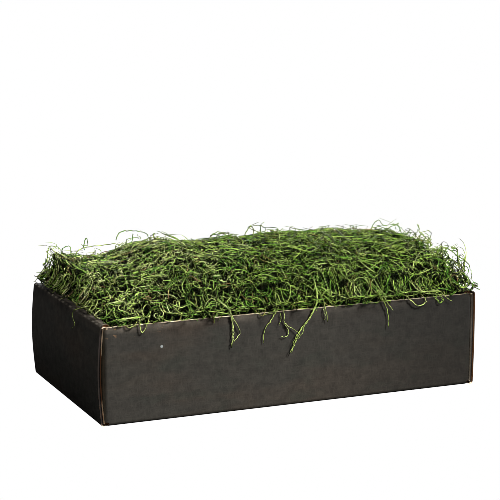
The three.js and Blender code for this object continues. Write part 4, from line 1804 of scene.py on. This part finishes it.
@dataclass
class MossBunch:
    """The whole bunch: a heart in near-black painted shade, sprigs and curls tangled over it, and loose
    sprigs over the rim.
    """

    form: HeapForm = field(default_factory=HeapForm)
    crown_stems: int = 750
    leaves_per_stem: int = 4
    nodes_per_stem: int = 3
    crown_locks: int = 1200
    strands_per_lock: int = 3
    crown_curls: int = 1900
    crown_under: int = 1300
    fans: int = 60
    leaves_per_fan: int = 5
    wisps: int = 260
    wisp_reach: float = 118.0
    hidden_strands: int = 800
    stem: StrandKind = StrandKind(length=(40.0, 76.0), rings=18, radius=(0.4, 0.54), curl=0.07, lift=1.8,
                                  loop=(0.0, 0.06))
    leaf: StrandKind = StrandKind(length=(16.0, 36.0), rings=12, radius=(0.34, 0.48), curl=0.1, lift=2.3,
                                  loop=(0.03, 0.18))
    lock: StrandKind = StrandKind(length=(24.0, 50.0), rings=14, radius=(0.34, 0.47), curl=0.07, lift=2.3,
                                  loop=(0.02, 0.15))
    curl: StrandKind = StrandKind(length=(22.0, 40.0), rings=17, radius=(0.34, 0.48), curl=0.08, lift=2.2,
                                  loop=(0.14, 0.36))
    blade: StrandKind = StrandKind(length=(18.0, 36.0), rings=10, radius=(0.38, 0.5), curl=0.05, lift=1.6,
                                   loop=(0.0, 0.07))
    under: StrandKind = StrandKind(length=(30.0, 55.0), rings=11, radius=(0.5, 0.8), curl=0.09)
    wisp: StrandKind = StrandKind(length=(14.0, 28.0), rings=12, radius=(0.36, 0.48), curl=0.1, lift=1.0,
                                  loop=(0.12, 0.34), tip_share=0.7)
    crown_depth: Span = (-2.5, 6.0)
    curl_depth: Span = (-5.5, 4.0)
    under_depth: Span = (6.0, 13.0)
    hidden_depth: Span = (1.0, 8.0)
    leaf_depth: Span = (-4.0, 3.0)
    fan_depth: Span = (-1.0, 2.5)
    wisp_depth: Span = (-5.0, 0.0)
    crown_tones: Span = (2.0, 1.7)
    curl_tones: Span = (2.2, 1.5)
    under_tones: Span = (2.5, 2.5)
    plain_tones: Span = (2.0, 2.0)
    fan_tone: float = 0.7
    fan_tone_spread: float = 0.16
    tone_spread: float = 0.24
    leaf_fork: Span = (20.0, 80.0)
    fan_fork: Span = (0.0, 40.0)
    fork_lift: float = 0.35
    wisp_lift: float = 0.25
    hidden_inset: float = 3.0
    hidden_foot: float = 2.0
    lock_width: float = 1.3
    lock_parting: float = 2.4
    # Random painted shade of each strand and of each strand in a lock.
    strand_shade: Span = (0.82, 1.14)
    lock_shade: Span = (0.7, 1.14)
    most_triangles: int = 180000

    def __post_init__(self) -> None:
        """Seeds the draws."""
        self.random = np.random.default_rng(SEED)
        self.walker = StrandWalker(self.form, self.random)

    def crown_starts(self, count: int) -> np.ndarray:
        """Draws starting points spread evenly over the crown's surface, its steep edge included.

        Args:
            count: How many.

        Returns:
            The points.
        """
        form = self.form
        turns = self.random.uniform(0, 1, (2, 1)) + np.arange(3 * count) * EVEN_STEPS
        x = (2 * (turns[0] % 1) - 1) * form.half_x + form.centre_x
        y = (2 * (turns[1] % 1) - 1) * form.half_y
        area = np.cumsum(form.read(form.steepness, x, y))
        chosen = np.searchsorted(area, (np.arange(count) + 0.5) * area[-1] / count)
        x, y = x[chosen], y[chosen]
        return np.stack([x, y, form.crown(x, y)], axis=-1)

    def hidden_starts(self, count: int) -> np.ndarray:
        """Draws starting points on the sides and the underside, inside the tray.

        Args:
            count: How many.

        Returns:
            The points.
        """
        form = self.form
        half_x, half_y = form.inside_x - self.hidden_inset, form.inside_y - self.hidden_inset
        low, high = form.floor_z + self.hidden_foot, form.rim_z
        areas = np.array([half_y * (high - low), half_x * (high - low), 2 * half_x * half_y])
        face = self.random.choice(3, count, p=areas / areas.sum())
        sign = self.random.choice([-1.0, 1.0], count)
        x = self.random.uniform(-half_x, half_x, count)
        y = self.random.uniform(-half_y, half_y, count)
        z = self.random.uniform(low, high, count)
        x = np.where(face == 0, sign * half_x, x)
        y = np.where(face == 1, sign * half_y, y)
        z = np.where(face == 2, low, z)
        return np.stack([x, y, z], axis=-1)

    def grown(self, kind: StrandKind, starts: np.ndarray, headings: np.ndarray, depths: np.ndarray,
              tone: np.ndarray) -> Strands:
        """Walks strands of one kind and clears them of the board.

        Args:
            kind: The kind of strand.
            starts: Where they start.
            headings: Where they head first.
            depths: The depths that they settle at.
            tone: Their tones.

        Returns:
            The strands.
        """
        points = self.walker.walk(kind, starts, headings, depths)
        radii = self.walker.radii(kind, len(starts))
        radii = radii * (1 + self.walker.left_thick * self.walker.left.at(starts[:, :1]))
        points = self.form.clear_of_board(points, radii)
        shade = np.repeat(self.random.uniform(*self.strand_shade, (len(starts), 1)), kind.rings, axis=1)
        return Strands(points, radii, tone, shade)

    def tangle(self, kind: StrandKind, starts: np.ndarray, depths: np.ndarray, tones: Span) -> Strands:
        """Grows strands without leaves in every direction.

        Args:
            kind: The kind of strand.
            starts: Where they start, on the surface.
            depths: The depths that they start and settle at.
            tones: The two powers of the spread of their tones.

        Returns:
            The strands.
        """
        starts = starts - self.form.outward(starts) * depths[:, None]
        headings = unit(self.random.normal(size=starts.shape))
        return self.grown(kind, starts, headings, depths, self.random.beta(*tones, len(starts)))

    def depths(self, count: int, span: Span) -> np.ndarray:
        """Draws depths in a range."""
        return self.random.uniform(*span, count)

    def near_tone(self, tone: np.ndarray) -> np.ndarray:
        """Draws tones near others."""
        return np.clip(tone + self.random.normal(0.0, self.tone_spread, len(tone)), 0, 1)

    def forked(self, roots: np.ndarray, run: np.ndarray, fork: Span) -> np.ndarray:
        """Draws headings that branch off to either side of a run.

        Args:
            roots: Where the branches start.
            run: The direction that they branch off.
            fork: The least and the widest angle, in degrees.

        Returns:
            The headings.
        """
        count = len(roots)
        out = self.form.outward(roots)
        side = unit(np.cross(out, run)) * self.random.choice([-1.0, 1.0], (count, 1))
        angle = np.radians(self.random.uniform(*fork, count))[:, None]
        lift = self.random.normal(0.0, self.fork_lift, (count, 1))
        return run * np.cos(angle) + side * np.sin(angle) + out * lift

    def sprigs(self) -> list[Strands]:
        """Grows stems with leaves that curl away from their nodes.

        Returns:
            The stems and the leaves.
        """
        count = self.crown_stems
        starts = self.crown_starts(count)
        depths = self.depths(count, self.crown_depth)
        stems = self.tangle(self.stem, starts, depths, self.crown_tones)
        owner = np.repeat(np.arange(count), self.leaves_per_stem)
        nodes = self.random.integers(1, self.stem.rings - 2, (count, self.nodes_per_stem))
        ring = nodes[owner, self.random.integers(0, self.nodes_per_stem, len(owner))]
        root = stems.points[owner, ring]
        run = unit(stems.points[owner, ring + 1] - root)
        leaf_depths = depths[owner] + self.depths(len(owner), self.leaf_depth)
        leaf_tone = self.near_tone(stems.tone[owner])
        leaves = self.grown(self.leaf, root, self.forked(root, run, self.leaf_fork), leaf_depths, leaf_tone)
        return [stems, leaves]

    def parallel_locks(self) -> Strands:
        """Grows locks: strands that run beside each other and part towards their tips.

        Returns:
            The strands.
        """
        starts = self.crown_starts(self.crown_locks)
        guides = self.tangle(self.lock, starts, self.depths(len(starts), self.crown_depth), self.crown_tones)
        owner = np.repeat(np.arange(guides.count), self.strands_per_lock)
        total = len(owner)
        along = np.linspace(0, 1, self.lock.rings)[None, :, None]
        beside = self.random.normal(0.0, self.lock_width, (total, 1, 3))
        parting = self.random.normal(0.0, self.lock_parting, (total, 1, 3)) * along
        radii = self.walker.radii(self.lock, total)
        points = self.form.clear_of_board(guides.points[owner] + beside + parting, radii)
        tone = self.near_tone(guides.tone[owner])
        shade = guides.shade[owner] * self.random.uniform(*self.lock_shade, (total, 1))
        return Strands(points, radii, tone, shade)

    def spread_fans(self) -> Strands:
        """Grows fans of straighter, paler leaves that share a root on the crown.

        Returns:
            The leaves.
        """
        roots = self.crown_starts(self.fans)
        runs = unit(np.cross(self.form.outward(roots), self.random.normal(size=(self.fans, 3))))
        owner = np.repeat(np.arange(self.fans), self.leaves_per_fan)
        depths = self.depths(len(owner), self.fan_depth)
        tone = np.clip(self.random.normal(self.fan_tone, self.fan_tone_spread, len(owner)), 0, 1)
        roots = roots[owner]
        return self.grown(self.blade, roots, self.forked(roots, runs[owner], self.fan_fork), depths, tone)

    def stray_wisps(self) -> Strands:
        """Grows thin wisps that stand a little out of the crown.

        Returns:
            The wisps.
        """
        roots = self.crown_starts(self.wisps)
        roots = roots[np.abs(roots[:, 0]) < self.wisp_reach]
        count = len(roots)
        out = self.form.outward(roots)
        headings = self.wisp_lift * out + unit(np.cross(out, self.random.normal(size=(count, 3))))
        depths = self.depths(count, self.wisp_depth)
        tone = self.random.beta(*self.plain_tones, count)
        return self.grown(self.wisp, roots - out, headings, depths, tone)

    def pieces_of(self, name: str, groups: Sequence[Strands], material: bpy.types.Material) -> list:
        """Splits strands into pieces under the triangle limit.

        Args:
            name: The pieces' name, to which a number is added.
            groups: The strands.
            material: Their material.

        Returns:
            The pieces.
        """
        parts = math.ceil(sum(g.triangles for g in groups) / self.most_triangles)
        made = []
        for part in range(parts):
            shares = [g.part(np.arange(part, g.count, parts)) for g in groups]
            mesh = StrandMesh(f"{name}_{part + 1}").build(shares)
            mesh.materials.append(material)
            made.append(finished_piece(linked(mesh.name, mesh), [MOSS_NODE]))
        return made

    def build(self, effects: SharedEffects) -> list[bpy.types.Object]:
        """Builds the bunch and dresses it.

        Args:
            effects: The shared node groups.

        Returns:
            The bunch's pieces.
        """
        material = MossStrand().material(effects)
        crown = self.sprigs()
        for kind, count, span, tones in (
            (self.curl, self.crown_curls, self.curl_depth, self.curl_tones),
            (self.under, self.crown_under, self.under_depth, self.under_tones),
        ):
            crown.append(self.tangle(kind, self.crown_starts(count), self.depths(count, span), tones))
        crown += [self.parallel_locks(), self.spread_fans(), self.stray_wisps()]
        count = self.hidden_strands
        starts = self.hidden_starts(count)
        hidden = self.tangle(self.under, starts, self.depths(count, self.hidden_depth), self.plain_tones)
        Overcast(self.form).shade([*crown, hidden])
        pieces = [Heart(self.form).build(effects, self.random)]
        pieces += self.pieces_of("moss_crown", crown, material)
        pieces += self.pieces_of("moss_sides", [hidden], material)
        loose = [trace.strands() for trace in (*HANGING, *WISPS, *LYING)]
        pieces += self.pieces_of("moss_loose", loose, material)
        return pieces


# The studio


@dataclass
class PhotoCamera:
    """The camera, where the photograph was taken from."""

    yaw: float = 23.6
    pitch: float = 10.678
    roll: float = 0.14
    focal_share: float = 1717.05 / 500
    sensor: float = 36.0
    place: Point = (-518.2, -1181.7, 344.8)
    nearest: float = 50.0
    farthest: float = 60000.0

    def build(self) -> bpy.types.Object:
        """Makes the camera and sets it as the scene's.

        Returns:
            The camera.
        """
        yaw, pitch = math.radians(self.yaw), math.radians(self.pitch)
        ahead = Vector((math.sin(yaw) * math.cos(pitch), math.cos(yaw) * math.cos(pitch), -math.sin(pitch)))
        right = Vector((math.cos(yaw), -math.sin(yaw), 0.0))
        turn = Matrix((right, right.cross(ahead), -ahead)).transposed().to_4x4()
        data = bpy.data.cameras.new("photo_camera")
        data.sensor_width = self.sensor
        data.lens = self.sensor * self.focal_share
        data.clip_start = self.nearest * MM
        data.clip_end = self.farthest * MM
        camera = linked("photo_camera", data)
        roll = Matrix.Rotation(math.radians(self.roll), 4, "Z")
        camera.matrix_world = Matrix.Translation(Vector(self.place) * MM) @ turn @ roll
        bpy.context.scene.camera = camera
        return camera


@dataclass(frozen=True)
class Softbox:
    """A square soft light that points at the tray."""

    name: str
    place: Point
    size: float
    power: float
    aim: Point = (0.0, 0.0, 60.0)

    def build(self) -> bpy.types.Object:
        """Makes the light.

        Returns:
            The light.
        """
        data = bpy.data.lights.new(self.name, "AREA")
        data.shape = "SQUARE"
        data.size = self.size * MM
        data.energy = self.power
        light = linked(self.name, data)
        light.location = Vector(self.place) * MM
        towards = (Vector(self.aim) - Vector(self.place)).normalized()
        light.rotation_mode = "QUATERNION"
        light.rotation_quaternion = towards.to_track_quat("-Z", "Y")
        return light


@dataclass
class Studio:
    """Plain pale floor, pale surroundings and soft lights."""

    floor_size: float = 40000.0
    floor_dull: Colour = (0.08, 0.08, 0.08)
    white: Colour = (1.0, 1.0, 1.0)
    surroundings: float = 0.055
    sharpness: float = 0.6
    lights: tuple[Softbox, ...] = (
        Softbox("key", (1750.0, -2350.0, 2900.0), 1000.0, 575.0),
        Softbox("top", (-500.0, -500.0, 2900.0), 1000.0, 62.0),
        Softbox("back", (600.0, 2600.0, 900.0), 1000.0, 45.0),
        Softbox("fill", (500.0, -1900.0, 500.0), 600.0, 4.0),
    )

    def _floor(self) -> bpy.types.Object:
        """Lays the floor, bright to the eye but with little light bounced onto the tray.

        Returns:
            The floor.
        """
        bm = bmesh.new()
        bmesh.ops.create_grid(bm, x_segments=1, y_segments=1, size=self.floor_size / 2)
        mesh = new_mesh("floor", bm, MM)
        material = bpy.data.materials.new("pale_floor")
        material.use_nodes = True
        graph = ShaderGraph(material.node_tree)
        graph.tree.nodes.remove(graph.tree.nodes["Principled BSDF"])
        seen = graph.add("ShaderNodeLightPath").outputs["Is Camera Ray"]
        dull = graph.add("ShaderNodeBsdfDiffuse", {"Color": (*self.floor_dull, 1.0)})
        glow = graph.add("ShaderNodeEmission", {"Color": (*self.white, 1.0), "Strength": 1.0})
        mixed = graph.add("ShaderNodeMixShader", {0: seen, 1: dull.outputs[0], 2: glow.outputs[0]})
        graph.feed(graph.tree.nodes["Material Output"], {"Surface": mixed.outputs[0]})
        mesh.materials.append(material)
        floor = linked("floor", mesh)
        return floor

    def _world(self) -> None:
        """Sets the surroundings: white to the eye, dimmer as light."""
        world = bpy.data.worlds.new("studio")
        world.use_nodes = True
        graph = ShaderGraph(world.node_tree)
        seen = graph.add("ShaderNodeLightPath").outputs["Is Camera Ray"]
        strength = graph.math("MULTIPLY_ADD", seen, 1.0 - self.surroundings, self.surroundings)
        graph.feed(graph.tree.nodes["Background"], {"Color": (*self.white, 1.0), "Strength": strength})
        bpy.context.scene.world = world

    def build(self) -> None:
        """Makes the studio."""
        self._floor()
        self._world()
        for light in self.lights:
            light.build()
        bpy.context.scene.cycles.filter_width = self.sharpness
        bpy.context.scene.view_settings.view_transform = "Standard"
        bpy.context.scene.view_settings.look = "None"


def main() -> None:
    """Builds the camera, the studio, the tray and the moss in order."""
    logging.basicConfig(level=logging.INFO, format="%(name)s: %(message)s")
    PhotoCamera().build()
    Studio().build()
    effects = SharedEffects()
    CartonTray().build(effects)
    MossBunch().build(effects)


if __name__ == "__main__":
    main()
